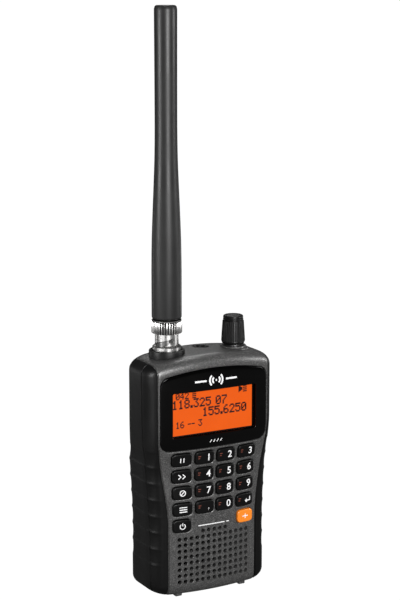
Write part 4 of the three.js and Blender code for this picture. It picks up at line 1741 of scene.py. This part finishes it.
@dataclass(frozen=True)
class CasePieces:
    """The mouldings of the case."""

    cover_half: float = 23.4
    cover_top: float = 63.0
    cover_front: float = 12.9
    foot: Triple = (17.3, -10.6, 7.4)
    foot_half: Pair = (1.75, 1.6)
    foot_top: float = 2.4
    clip_screws: Pair = (84.0, 98.0)
    case_screw: Pair = (26.0, 99.0)
    finger_ribs: tuple[float, ...] = (50.6, 53.0, 55.4, 57.8)
    rule: float = 34.6
    grille: Grille = field(default_factory=Grille)
    lens: Lens = field(default_factory=Lens)

    def make(self, bench: Bench, keypad: Keypad) -> None:
        """Makes the panel, the rear case, the grips and the battery cover."""
        regions = Regions(bench.case)
        seams = Seams(regions, bench.skin)
        self._panel(bench, regions, seams, keypad)
        self._rear(bench, regions, seams)
        for side, name in ((-1, "left_grip"), (1, "right_grip")):
            grip = shape(copy_of(bench.shell, name), Cut.KEEP, regions.ahead_of_grips(-GAP / 2))
            low, high = sorted((side * 40, 0))
            beside = brick("beside", (low, -30, BELOW), (high, 30, ABOVE))
            shape(grip, Cut.KEEP, beside)
            shape(grip, Cut.REMOVE, regions.band(-GAP / 2, -40, 40), *seams.tools())
            bench.place(grip, name + "_moulding", name)
        self._cover(bench)
        self.lens.make(bench)

    def _feet(self, y: float) -> list[Piece]:
        """Two small feet with rounded edges."""
        (w, d), feet = self.foot_half, []
        for x in (-self.foot[0], self.foot[0]):
            foot = brick("foot", (x - w, y - d, 0), (x + w, y + d, self.foot_top))
            feet.append(bevelled(foot, 0.4))
        return feet

    def _panel(self, bench: Bench, regions: Regions, seams: Seams, keypad: Keypad) -> None:
        """The front panel: lens pocket, key holes, speaker holes, the knob's boss and the top's holes."""
        panel = shape(copy_of(bench.shell, "panel"), Cut.KEEP, regions.panel(GAP / 2))
        boss = [(0, 113.5), (7.4, 113.5), (7.1, 115.9), (6.3, 116.5), (6.1, 117.1), (0, 117.1)]
        knob_boss = turned("boss", fillet(boss, 0.35), TuningKnob.axis)
        shape(panel, Cut.JOIN, knob_boss, *self._feet(self.foot[1]))
        front, floor = bench.skin.front, self.lens.back + GAP
        lens_pocket = pocket("lens_pocket", self.lens.outline, front, floor, 0.45, 0.2)
        window = brick("window", (-24.6, -16, 76.6), (24.6, -10, 102.8))
        shape(panel, Cut.REMOVE, lens_pocket, window, self.grille.tool(bench), *keypad.pockets(bench))
        holes = ((TuningKnob.axis, 3.7), (Jacks.earphone, 4.1), (AerialConnector.axis, 6.9))
        for axis, radius in holes:
            hole = [(0, 106), (radius, 106), (radius, 120), (0, 120)]
            shape(panel, Cut.REMOVE, turned("hole", hole, axis, 48))
        shape(panel, Cut.REMOVE, *seams.tools())
        bench.place(panel, "front_panel_moulding", "front_panel")
        z = self.rule
        rule = strokes([[(x, z) for x in np.linspace(-8.6, 5.6, 12)], [(6.6, z), (8.0, z)]], 0.5)
        bench.mark(laid_on(rule, bench.skin.raised(0.02)), "panel_rule", "front_panel")

    def _rear(self, bench: Bench, regions: Regions, seams: Seams) -> None:
        """The rear case: battery bay, cover opening, screw holes and the power jack's hole."""
        rear = shape(copy_of(bench.shell, "rear"), Cut.REMOVE, regions.panel(-GAP / 2))
        ahead = shape(regions.ahead_of_grips(GAP / 2), Cut.REMOVE, regions.band(0, -41, 41))
        shape(rear, Cut.REMOVE, ahead)
        tray = shape(
            brick("tray", (-24, -3.3, 4.6), (24, 13.2, self.cover_top - 0.6)),
            Cut.REMOVE,
            brick("bay", (-22.4, -2.1, 6.2), (22.4, 20, self.cover_top - 2.2)),
        )
        shape(tray, Cut.KEEP, copy_of(bench.outer, "limit"))
        shape(rear, Cut.JOIN, tray, *self._feet(self.foot[2]))
        for z in self.clip_screws:
            shape(rear, Cut.JOIN, turned_y("post", [(3, 4), (3, 11.5)], 0, z))
        for x in (-self.case_screw[0], self.case_screw[0]):
            z = self.case_screw[1]
            shape(rear, Cut.JOIN, brick("block", (x - 3, 2, z - 3), (x + 3, 11.5, z + 3)))
        w, top = self.cover_half + GAP, self.cover_top + GAP
        corners = np.array([(-w, -1), (w, -1), (w, top), (-w, top)])
        opening = prism("opening", corners, self.cover_front - GAP, 20)
        groove = brick("groove", (-w - 1.2, 13.2, -1), (w + 1.2, 14.4, top))
        shape(rear, Cut.REMOVE, opening, groove)
        for z in self.clip_screws:
            shape(rear, Cut.REMOVE, turned_y("hole", [(1.3, 5), (1.3, 14)], 0, z))
        for x in (-self.case_screw[0], self.case_screw[0]):
            hole = [(1.3, 3), (1.3, 9.6), (2.9, 9.6), (2.9, 12.3), (3.4, 14)]
            shape(rear, Cut.REMOVE, turned_y("hole", hole, x, self.case_screw[1]))
        hole = turned_x("hole", [(3.6, 26), (3.6, 33.1), (4.2, 36)], *Jacks.power)
        shape(rear, Cut.REMOVE, hole, *seams.tools())
        bench.place(rear, "rear_case_moulding", "rear_case")

    def _cover(self, bench: Bench) -> None:
        """The sliding battery cover, with finger ribs."""
        w, top = self.cover_half, self.cover_top
        corners = np.array([(-w, -1), (w, -1), (w, top), (-w, top)])
        cover = shape(copy_of(bench.outer, "cover"), Cut.KEEP, prism("slab", corners, self.cover_front, 20))
        tongues = brick("tongues", (-w - 1.2, 13.5, 8), (w + 1.2, 14.1, top - 1))
        shape(cover, Cut.JOIN, shape(tongues, Cut.KEEP, copy_of(bench.outer, "limit")))
        for z in self.finger_ribs:
            shape(cover, Cut.REMOVE, tube("rib", [(-7, 15.3, z), (0, 15.1, z), (7, 15.3, z)], 0.75, 16))
        rim = [(x, 15.05, top + 0.02) for x in (-w, 0, w)]
        shape(cover, Cut.REMOVE, tube("rim", rim, 0.35, 8))
        arrow = strokes([[(-1.6, 46.2), (0, 44.6), (1.6, 46.2)]], 0.5)
        shape(cover, Cut.REMOVE, moved(arrow, y=14.9))
        bench.place(cover, "battery_cover_moulding", "battery_cover", "battery_door")


def turned_y(name: str, profile: Sequence[Pair], x: float, z: float, sides: int = 40) -> Piece:
    """Turns a profile about a front-to-back axis, and closes both ends flat.

    Args:
        name: the object's name.
        profile: the (radius, y) pairs.
        x: where the axis stands across.
        z: the axis's height.
        sides: the number of faces round it.

    Returns:
        The turned solid.
    """
    turns = round_turns(sides)
    across, up = np.cos(turns), np.sin(turns)
    rings = [np.stack([x + r * across, np.full(sides, y), z + r * up], 1) for r, y in profile]
    return loft(name, rings)


def turned_x(name: str, profile: Sequence[Pair], y: float, z: float, sides: int = 40) -> Piece:
    """Turns a profile about a side-to-side axis, and closes both ends flat.

    Args:
        name: the object's name.
        profile: the (radius, x) pairs.
        y: the axis's depth.
        z: the axis's height.
        sides: the number of faces round it.

    Returns:
        The turned solid.
    """
    turns = round_turns(sides)
    back, up = np.cos(turns), np.sin(turns)
    rings = [np.stack([np.full(sides, x), y + r * back, z + r * up], 1) for r, x in profile]
    return loft(name, rings)


# ---- display


class DotDisplay:
    """The dark dots that the display shows: rows of five by seven digits, and a signal meter."""

    BITS = {
        "0": "01110 10001 10011 10101 11001 10001 01110",
        "1": "00100 01100 00100 00100 00100 00100 01110",
        "2": "01110 10001 00001 00010 00100 01000 11111",
        "3": "11111 00010 00100 00010 00001 10001 01110",
        "4": "00010 00110 01010 10010 11111 00010 00010",
        "5": "11111 10000 11110 00001 00001 10001 01110",
        "6": "00110 01000 10000 11110 10001 10001 01110",
        "7": "11111 00001 00010 00100 01000 01000 01000",
        "8": "01110 10001 10001 01110 10001 10001 01110",
        ".": "00 00 00 00 00 11 11",
        " ": "000 000 000 000 000 000 000",
        "-": "0000 0000 0000 1111 0000 0000 0000",
        "#": "10000 11100 11111 11111 11111 11100 10000",
        "=": "11111 00000 11111 00000 11111 00000 11111",
    }

    def __init__(self, bench: Bench) -> None:
        """Reads where the glass is."""
        self.bench = bench
        low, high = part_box("lcd_glass")
        self.front = low.y / MM - bench.shift
        self.left, self.right = low.x / MM + 4.6, high.x / MM - 4.2
        self.top = high.z / MM - 2.9

    def row(self, text: str, dot: float, tall: float, left: float, top: float) -> list[Pair]:
        """The centres of the dots that a line of text needs.

        Args:
            text: the line.
            dot: the distance between two dots.
            tall: the distance between two rows of dots.
            left: where the line starts.
            top: the height of its first row of dots.

        Returns:
            The dots' centres in x and z.
        """
        points, x = [], left
        for letter in text:
            lines = self.BITS[letter].split()
            for down, line in enumerate(lines):
                lit = [k for k, bit in enumerate(line) if bit == "1"]
                points += [(x + k * dot, top - down * tall) for k in lit]
            x += (len(lines[0]) + 1) * dot
        return points

    def width(self, text: str, dot: float) -> float:
        """How wide a line of text is."""
        return sum((len(self.BITS[letter].split()[0]) + 1) * dot for letter in text)

    def make(self) -> None:
        """Sets every dot on the glass."""
        small, large = 0.4, 0.54
        rows = [
            ("042 =", small, self.left + 1.2, self.top - 0.2),
            ("118.325 07", large, self.left - 0.6, self.top - 3.7),
            ("155.6250", large, self.right - self.width("155.6250", large), self.top - 8.6),
            ("16 -- 3", small, self.left + 1.2, self.top - 14.0),
            ("#=", small, self.right - self.width("#=", small), self.top - 0.2),
        ]
        for number, (text, dot, left, top) in enumerate(rows):
            tall = dot * 1.12
            places = [(x, self.front - 0.02, z) for x, z in self.row(text, dot, tall, left, top)]
            wide, high = dot * 0.66, tall * 0.62
            part = brick("dot", (-wide, -0.02, -high), (wide, 0.02, high))
            line = self.bench.scatter.run("line", part, places, [0.0] * len(places))
            self.bench.mark(line, f"display_line_{number}", "lcd_glass", ink="ink_lcd")


# ---- aerial


@dataclass(frozen=True)
class AerialConnector:
    """The base ring, the jack with its two lugs, and the bayonet collar."""

    axis: Pair = (-17.9, -1.75)
    base: float = 118.1
    neck: float = 121.1
    knurl: float = 126.6
    top: float = 133.1
    lugs: float = 123.2
    turn: float = 88.0
    rise: float = 2.2
    facing: float = 86.0
    teeth: int = 34

    def make(self, bench: Bench) -> None:
        """Makes the three pieces."""
        ring = [(6.5, 114.4), (8.5, 114.4), (8.5, 118.1), (8.35, 118.5), (8.0, 118.7), (7.6, 118.7)]
        ring += [(7.4, 118.5), (7.4, 117.4), (6.5, 117.4)]
        base = hollow_turned("base_ring", ring, self.axis)
        shape(base, Cut.REMOVE, moved(copy_of(bench.outer, "clear"), z=GAP))
        bench.place(base, "antenna_base_ring_moulding", "antenna_base_ring")
        self._jack(bench)
        self._collar(bench)

    def _jack(self, bench: Bench) -> None:
        """The nickel-plated jack."""
        profile = [(0, 118.6), (4.1, 118.6), (4.1, 127.0), (4.75, 127.0), (4.75, 117.7), (6.2, 117.7)]
        profile += [(6.2, 116.7), (4.4, 116.4), (4.4, 103), (0, 103)]
        jack = turned("jack", fillet(profile, 0.25), (0, 0))
        for side in (0, 180):
            lug = turned_x("lug", [(0.95, 4.4), (0.95, 5.45), (0.75, 5.6)], 0, self.lugs, 24)
            lug.data.transform(_about_z(math.radians(self.facing + side)))
            shape(jack, Cut.JOIN, lug)
        moved(jack, *self.axis)
        # The jack takes a darker nickel than its slot's: painted shade for where it shows through the
        # collar's slots.
        bench.place(jack, "antenna_jack_metal", "antenna_jack", finish="dull_nickel")

    def _collar(self, bench: Bench) -> None:
        """The collar: a rim, a slotted neck, a knurled ring and an upper rim."""
        base, neck, knurl, top = self.base, self.neck, self.knurl, self.top
        outside = [(5.05, base), (6.5, base), (6.8, base + 0.35), (6.8, neck - 0.9), (6.45, neck - 0.6)]
        outside += [(5.6, neck), (5.55, knurl - 0.35), (6.3, knurl), (6.6, knurl + 0.1), (6.6, top - 0.7)]
        outside += [(7.0, top - 0.62), (7.1, top - 0.5), (7.1, top - 0.3), (6.7, top)]
        profile = [*outside, (4.2, top), (4.2, 129.6), (5.05, 129.6)]
        collar = hollow_turned("collar", profile, (0, 0), 96)
        turns = round_turns(10)
        ridge = [(0.25 * math.cos(t), 0.25 * math.sin(t)) for t in turns]
        rings = []
        for z, size in ((knurl + 0.05, 0.55), (knurl + 0.35, 1.0), (top - 1.1, 1.0), (top - 0.8, 0.55)):
            rings.append(np.array([(a * 2.4 * size, b * 1.35 * size, z) for a, b in ridge]))
        knurls = bench.ring.run("knurl", loft("ridge", rings), count=self.teeth, radius=6.65)
        shape(collar, Cut.JOIN, knurls)
        for side in (0, 180):
            shape(collar, Cut.REMOVE, *self._slot(self.facing + side))
        moved(collar, *self.axis)
        # This finish paints shade into the valleys between the knurl's ridges.
        finish, sharp = "knurled_nickel", math.radians(40)
        bench.place(collar, "bayonet_collar_metal", "bayonet_collar", "collar", finish, angle=sharp)

    def _slot(self, side: float) -> list[Piece]:
        """One ramped slot for a lug, with the groove that the lug comes in by.

        Args:
            side: the angle at which the lug rests.

        Returns:
            The cutting tools.
        """
        half, inner, outer = 1.25, 4.3, 7.4
        turns = np.radians(np.linspace(0, self.turn, 25))
        rings = []
        for turn in turns:
            share = turn / turns[-1]
            z, angle = self.lugs - self.rise * share, math.radians(side) - turn
            square = [(inner, -half), (outer, -half), (outer, half), (inner, half)]
            rings.append([(r * math.cos(angle), r * math.sin(angle), z + up) for r, up in square])
        tools = [loft("ramp", [np.array(ring) for ring in rings])]
        for turn, z in ((turns[0], self.lugs), (turns[-1], self.lugs - self.rise)):
            angle = math.radians(side) - turn
            hole = turned_x("seat", [(half, inner), (half, outer)], 0, z, 24)
            hole.data.transform(_about_z(angle))
            tools.append(hole)
        entry = brick("entry", (inner, -half, self.base - 2), (6.1, half, self.lugs - self.rise))
        entry.data.transform(_about_z(math.radians(side) - turns[-1]))
        return [*tools, entry]


def _about_z(angle: float) -> Matrix:
    """A turn about the Z axis."""
    return Matrix.Rotation(angle, 4, "Z")


@dataclass(frozen=True)
class AerialSleeve:
    """The whip's rubber sleeve, with a moulded root and a dished tip."""

    base: float = 133.4
    tip: float = 277.5

    def make(self, bench: Bench) -> None:
        """Makes the sleeve."""
        base, tip = self.base, self.tip
        bore = [(0, 268), (3.5, 268), (3.5, 139.5), (4.1, 139.5), (4.1, base)]
        root = [(5.9, base), (6.75, base + 0.25), (7.05, base + 0.9), (7.05, 156)]
        taper = [(6.85, 170), (6.35, 184), (5.8, 197), (5.4, 208), (5.22, 220), (5.2, 236), (5.25, 262)]
        end = [(5.3, tip - 1.9), (5.0, tip - 0.6), (4.3, tip), (3.3, tip), (3.0, tip - 0.7), (0, tip - 0.8)]
        smooth_taper = self._spline([(7.05, 156), *taper])
        profile = [*bore, *root, *smooth_taper[1:], *end]
        sleeve = turned("sleeve", fillet(profile, 0.22, 2), AerialConnector.axis, 72)
        bench.place(sleeve, "antenna_sleeve_rubber", "antenna_sleeve", "antenna", angle=math.radians(50))

    @staticmethod
    def _spline(points: Sequence[Pair]) -> list[Pair]:
        """A smooth curve through a profile's points."""
        radii, heights = np.array(points).T
        slopes = np.gradient(radii, heights)
        found = []
        for i in range(len(points) - 1):
            step = heights[i + 1] - heights[i]
            for t in np.linspace(0, 1, 4, endpoint=False):
                start, end = (1 + 2 * t) * (1 - t) ** 2, t * t * (3 - 2 * t)
                bend = step * (t * (1 - t) ** 2 * slopes[i] - t * t * (1 - t) * slopes[i + 1])
                found.append((start * radii[i] + end * radii[i + 1] + bend, heights[i] + t * step))
        return [*found, tuple(points[-1])]


# ---- knob and jacks


@dataclass(frozen=True)
class TuningKnob:
    """The fluted tuning knob."""

    axis: Pair = (17.9, -1.75)
    base: float = 117.7
    top: float = 131.7
    flutes: int = 34

    def make(self, bench: Bench) -> None:
        """Makes the knob: a tapered core, fine ribs, two turned rings and a dished top."""
        base, top = self.base, self.top
        inside = [(0, 128.6), (3.1, 128.6), (3.1, 120.4), (4.6, 120.4), (4.6, base)]
        outside = [(5.0, base), (5.3, base + 0.5), (5.62, base + 1.3), (5.5, base + 1.6), (4.91, top - 2.7)]
        rings = [(4.7, top - 2.55), (4.7, top - 2.3), (4.91, top - 2.15), (4.87, top - 1.75)]
        rings += [(4.67, top - 1.6), (4.67, top - 1.35), (4.85, top - 1.2), (4.75, top - 0.5)]
        rings += [(4.4, top - 0.12), (3.9, top), (3.3, top), (3.0, top - 0.35), (0, top - 0.4)]
        core = turned("knob", fillet([*inside, *outside, *rings], 0.12, 2), (0, 0), 96)
        rib = tube("rib", [(5.44, 0, base + 1.5), (5.17, 0, base + 6), (4.81, 0, top - 2.75)], 0.3, 10)
        shape(core, Cut.JOIN, bench.ring.run("ribs", rib, count=self.flutes))
        moved(core, *self.axis)
        bench.place(core, "tuning_knob_moulding", "tuning_knob", "knob", angle=math.radians(38))


@dataclass(frozen=True)
class Jacks:
    """The earphone jack on the top and the power jack in the right side."""

    earphone: Pair = (2.8, 3.2)
    power: Pair = (2.4, 92.0)
    edge: float = 33.0

    def make(self, bench: Bench) -> None:
        """Makes both jacks."""
        profile = [(0, 104.5), (1.8, 104.5), (1.8, 116.4), (2.5, 117.0), (3.4, 117.1), (3.8, 116.8)]
        profile += [(3.8, 103), (0, 103)]
        jack = turned("earphone", fillet(profile, 0.2), self.earphone, 48)
        bench.place(jack, "earphone_jack_moulding", "earphone_jack")
        edge = self.edge
        body = turned_x("power", [(3.3, 23), (3.3, edge - 0.3), (3.1, edge)], *self.power)
        bore = turned_x("bore", [(2.6, 24.5), (2.6, edge - 0.3), (2.8, edge + 1)], *self.power)
        pin = turned_x("pin", [(0.8, 24), (0.8, edge - 2.3), (0.5, edge - 2)], *self.power, 20)
        shape(body, Cut.REMOVE, bore)
        shape(body, Cut.JOIN, pin)
        bench.place(body, "power_jack_moulding", "power_jack")


# ---- back


@dataclass(frozen=True)
class Screw:
    """A pan-head screw with a cross recess, whose head faces backwards."""

    node: str
    x: float
    z: float
    head_back: float
    head_radius: float
    head_depth: float
    length: float

    def make(self, bench: Bench) -> None:
        """Makes the screw."""
        back, under, head = self.head_back, self.head_back - self.head_depth, self.head_radius
        reach = head * 0.6
        profile = [(1, under - self.length), (1, under), (head, under)]
        profile += [(head, back - 0.35), (head * 0.85, back - 0.08), (reach, back)]
        screw = turned_y(self.node, profile, self.x, self.z, 32)
        for w, h in ((reach, 0.24), (0.24, reach)):
            low = (self.x - w, back - 0.55, self.z - h)
            shape(screw, Cut.REMOVE, brick("cross", low, (self.x + w, back + 1, self.z + h)))
        bench.place(screw, self.node + "_metal", self.node)


@dataclass(frozen=True)
class BeltClip:
    """The spring clip in one moulding: a plate, a hairpin at the top and a long arm."""

    half_width: float = 10.0
    top: float = 104.0
    plate_base: float = 74.0
    arm_end: float = 46.0
    gap: float = 6.0
    plate: float = 2.0

    def make(self, bench: Bench) -> None:
        """Makes the clip, its two screws and the two screws of the case."""
        inner = bench.case.back[1] + GAP
        reach = inner + self.plate + self.gap
        bend = self.gap / 2
        middle, height = inner + self.plate + bend, self.top - bend - self.plate
        outline = [(inner, self.plate_base), (inner + self.plate, self.plate_base)]
        outline += arc(middle, height, bend, 180, 0, 14)
        outline += [(reach, self.arm_end + 8), (reach - 1.6, self.arm_end + 3), (reach + 0.6, self.arm_end)]
        outline += [(reach + 1.4, self.arm_end + 3), (reach + 2, self.arm_end + 9)]
        outline += arc(middle, height, bend + self.plate, 0, 180, 18)
        clip = bevelled(prism("clip", np.array(outline), -self.half_width, self.half_width, "x"), 0.45)
        for z in CasePieces.clip_screws:
            hole = [(1.4, 10), (1.4, inner + 0.7), (2.8, inner + 0.7), (2.8, inner + self.plate + 0.4)]
            shape(clip, Cut.REMOVE, turned_y("hole", hole, 0, z))
            shape(clip, Cut.REMOVE, turned_y("access", [(2.4, reach - 1), (2.4, reach + 3)], 0, z))
        for z in (60.0, 63.0, 66.0):
            path = [(x, reach + 2.25, z) for x in (-6, 0, 6)]
            shape(clip, Cut.REMOVE, tube("rib", path, 0.6, 12))
        bench.place(clip, "belt_clip_moulding", "belt_clip")
        lower, upper = CasePieces.clip_screws
        for name, z in (("upper", upper), ("lower", lower)):
            Screw("clip_screw_" + name, 0, z, inner + 1.9, 2.4, 0.9, 5.6).make(bench)
        across, level = CasePieces.case_screw
        for name, x in (("left", -across), ("right", across)):
            Screw("case_screw_" + name, x, level, 11.3, 2.5, 1.4, 5).make(bench)


# ---- studio


@dataclass(frozen=True)
class Lamp:
    """One soft oblong lamp: its place and size in millimetres, and its power in watts."""

    name: str
    place: Triple
    size: Pair
    power: float


CARDS = ((-385, -234), (-107, -437), (426, -145), (419, 163))
LAMPS = (
    Lamp("key", (-100, -680, 300), (240, 240), 5.6),
    Lamp("side", (-640, 20, 260), (160, 300), 3.2),
    Lamp("fill", (640, -360, 340), (160, 260), 2.4),
    Lamp("top", (80, 160, 700), (180, 180), 1.2),
    Lamp("back", (260, 480, 520), (260, 180), 0.45),
    *(Lamp(f"card_{number}", (x, y, 75), (180, 130), 0.1) for number, (x, y) in enumerate(CARDS)),
    Lamp("corner", (-196, -42, 60), (30, 110), 0.018),
    Lamp("flank", (-232, 386, 85), (120, 110), 0.07),
)


@dataclass(frozen=True)
class Studio:
    """The white table, the soft lights and the camera."""

    target: Triple = (0.8, -2.9, 140.0)
    yaw: float = 28.77
    pitch: float = 10.85
    distance: float = 800.0
    lens: float = 101.64
    world: float = 0.05
    table_glow: float = 0.94
    table_half: float = 60.0
    aim: Triple = (0, 0, 90)

    def make(self) -> None:
        """Builds the studio."""
        self._floor()
        self._world()
        for lamp in LAMPS:
            self._light(lamp)
        self._camera()
        bpy.context.scene.view_settings.view_transform = "Standard"

    def _floor(self) -> None:
        """A wide plain table top that looks evenly white, with only a faint shadow on it."""
        half = self.table_half
        corners = [(-half, -half, 0), (half, -half, 0), (half, half, 0), (-half, half, 0)]
        mesh = bpy.data.meshes.new("floor")
        mesh.from_pydata(corners, [], [(0, 1, 2, 3)])
        floor = linked("floor", mesh)
        graph = Graph("floor_white")
        paper = graph.noise(60.0, 2.0, 0.5)
        white = graph.blend(grey(0.11), grey(0.13), paper)
        lit = graph.node("ShaderNodeBsdfDiffuse", {}, {"Color": white})
        glow = graph.node("ShaderNodeEmission", {}, {"Strength": 1.1})
        seen = graph.node("ShaderNodeLightPath", out="Is Camera Ray") * self.table_glow
        both = graph.node("ShaderNodeMixShader", {}, {0: seen, 1: lit, 2: glow})
        graph.node("ShaderNodeOutputMaterial", {}, {"Surface": both})
        mesh.materials.append(graph.material)

    def _world(self) -> None:
        """A faint, even white surrounding."""
        world = bpy.data.worlds.new("studio")
        world.use_nodes = True
        background = world.node_tree.nodes["Background"]
        background.inputs["Color"].default_value = (1, 1, 1, 1)
        background.inputs["Strength"].default_value = self.world
        bpy.context.scene.world = world

    def _light(self, lamp: Lamp) -> None:
        """Sets up a lamp that looks at the object and isn't seen itself.

        Args:
            lamp: its name, place, size and power.
        """
        data = bpy.data.lights.new(lamp.name, "AREA")
        data.shape = "RECTANGLE"
        data.size, data.size_y = (side * MM for side in lamp.size)
        data.energy = lamp.power
        made = linked(lamp.name, data)
        made.visible_camera = False
        made.location = Vector(lamp.place) * MM
        towards = Vector(self.aim) * MM - made.location
        made.rotation_euler = towards.to_track_quat("-Z", "Y").to_euler()

    def _camera(self) -> None:
        """The camera, a little above the object and to its left."""
        yaw, pitch = math.radians(self.yaw), math.radians(self.pitch)
        level = math.cos(pitch)
        ahead = Vector((math.sin(yaw) * level, math.cos(yaw) * level, -math.sin(pitch)))
        data = bpy.data.cameras.new("camera")
        data.lens = self.lens
        data.clip_end = 50
        camera = linked("camera", data)
        camera.location = (Vector(self.target) - ahead * self.distance) * MM
        camera.rotation_euler = ahead.to_track_quat("-Z", "Y").to_euler()
        bpy.context.scene.camera = camera


# ---- main


def main() -> None:
    """Builds every piece and the studio."""
    logging.basicConfig(level=logging.INFO, format="%(message)s")
    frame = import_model()
    bench = Bench(frame, CaseShape())
    keypad = Keypad()
    CasePieces().make(bench, keypad)
    keypad.make(bench)
    DotDisplay(bench).make()
    AerialConnector().make(bench)
    AerialSleeve().make(bench)
    TuningKnob().make(bench)
    Jacks().make(bench)
    BeltClip().make(bench)
    for rest in (bench.outer, bench.shell):
        discard(rest)
    bench.dress_kept_nodes()
    Studio().make()


if __name__ == "__main__":
    main()
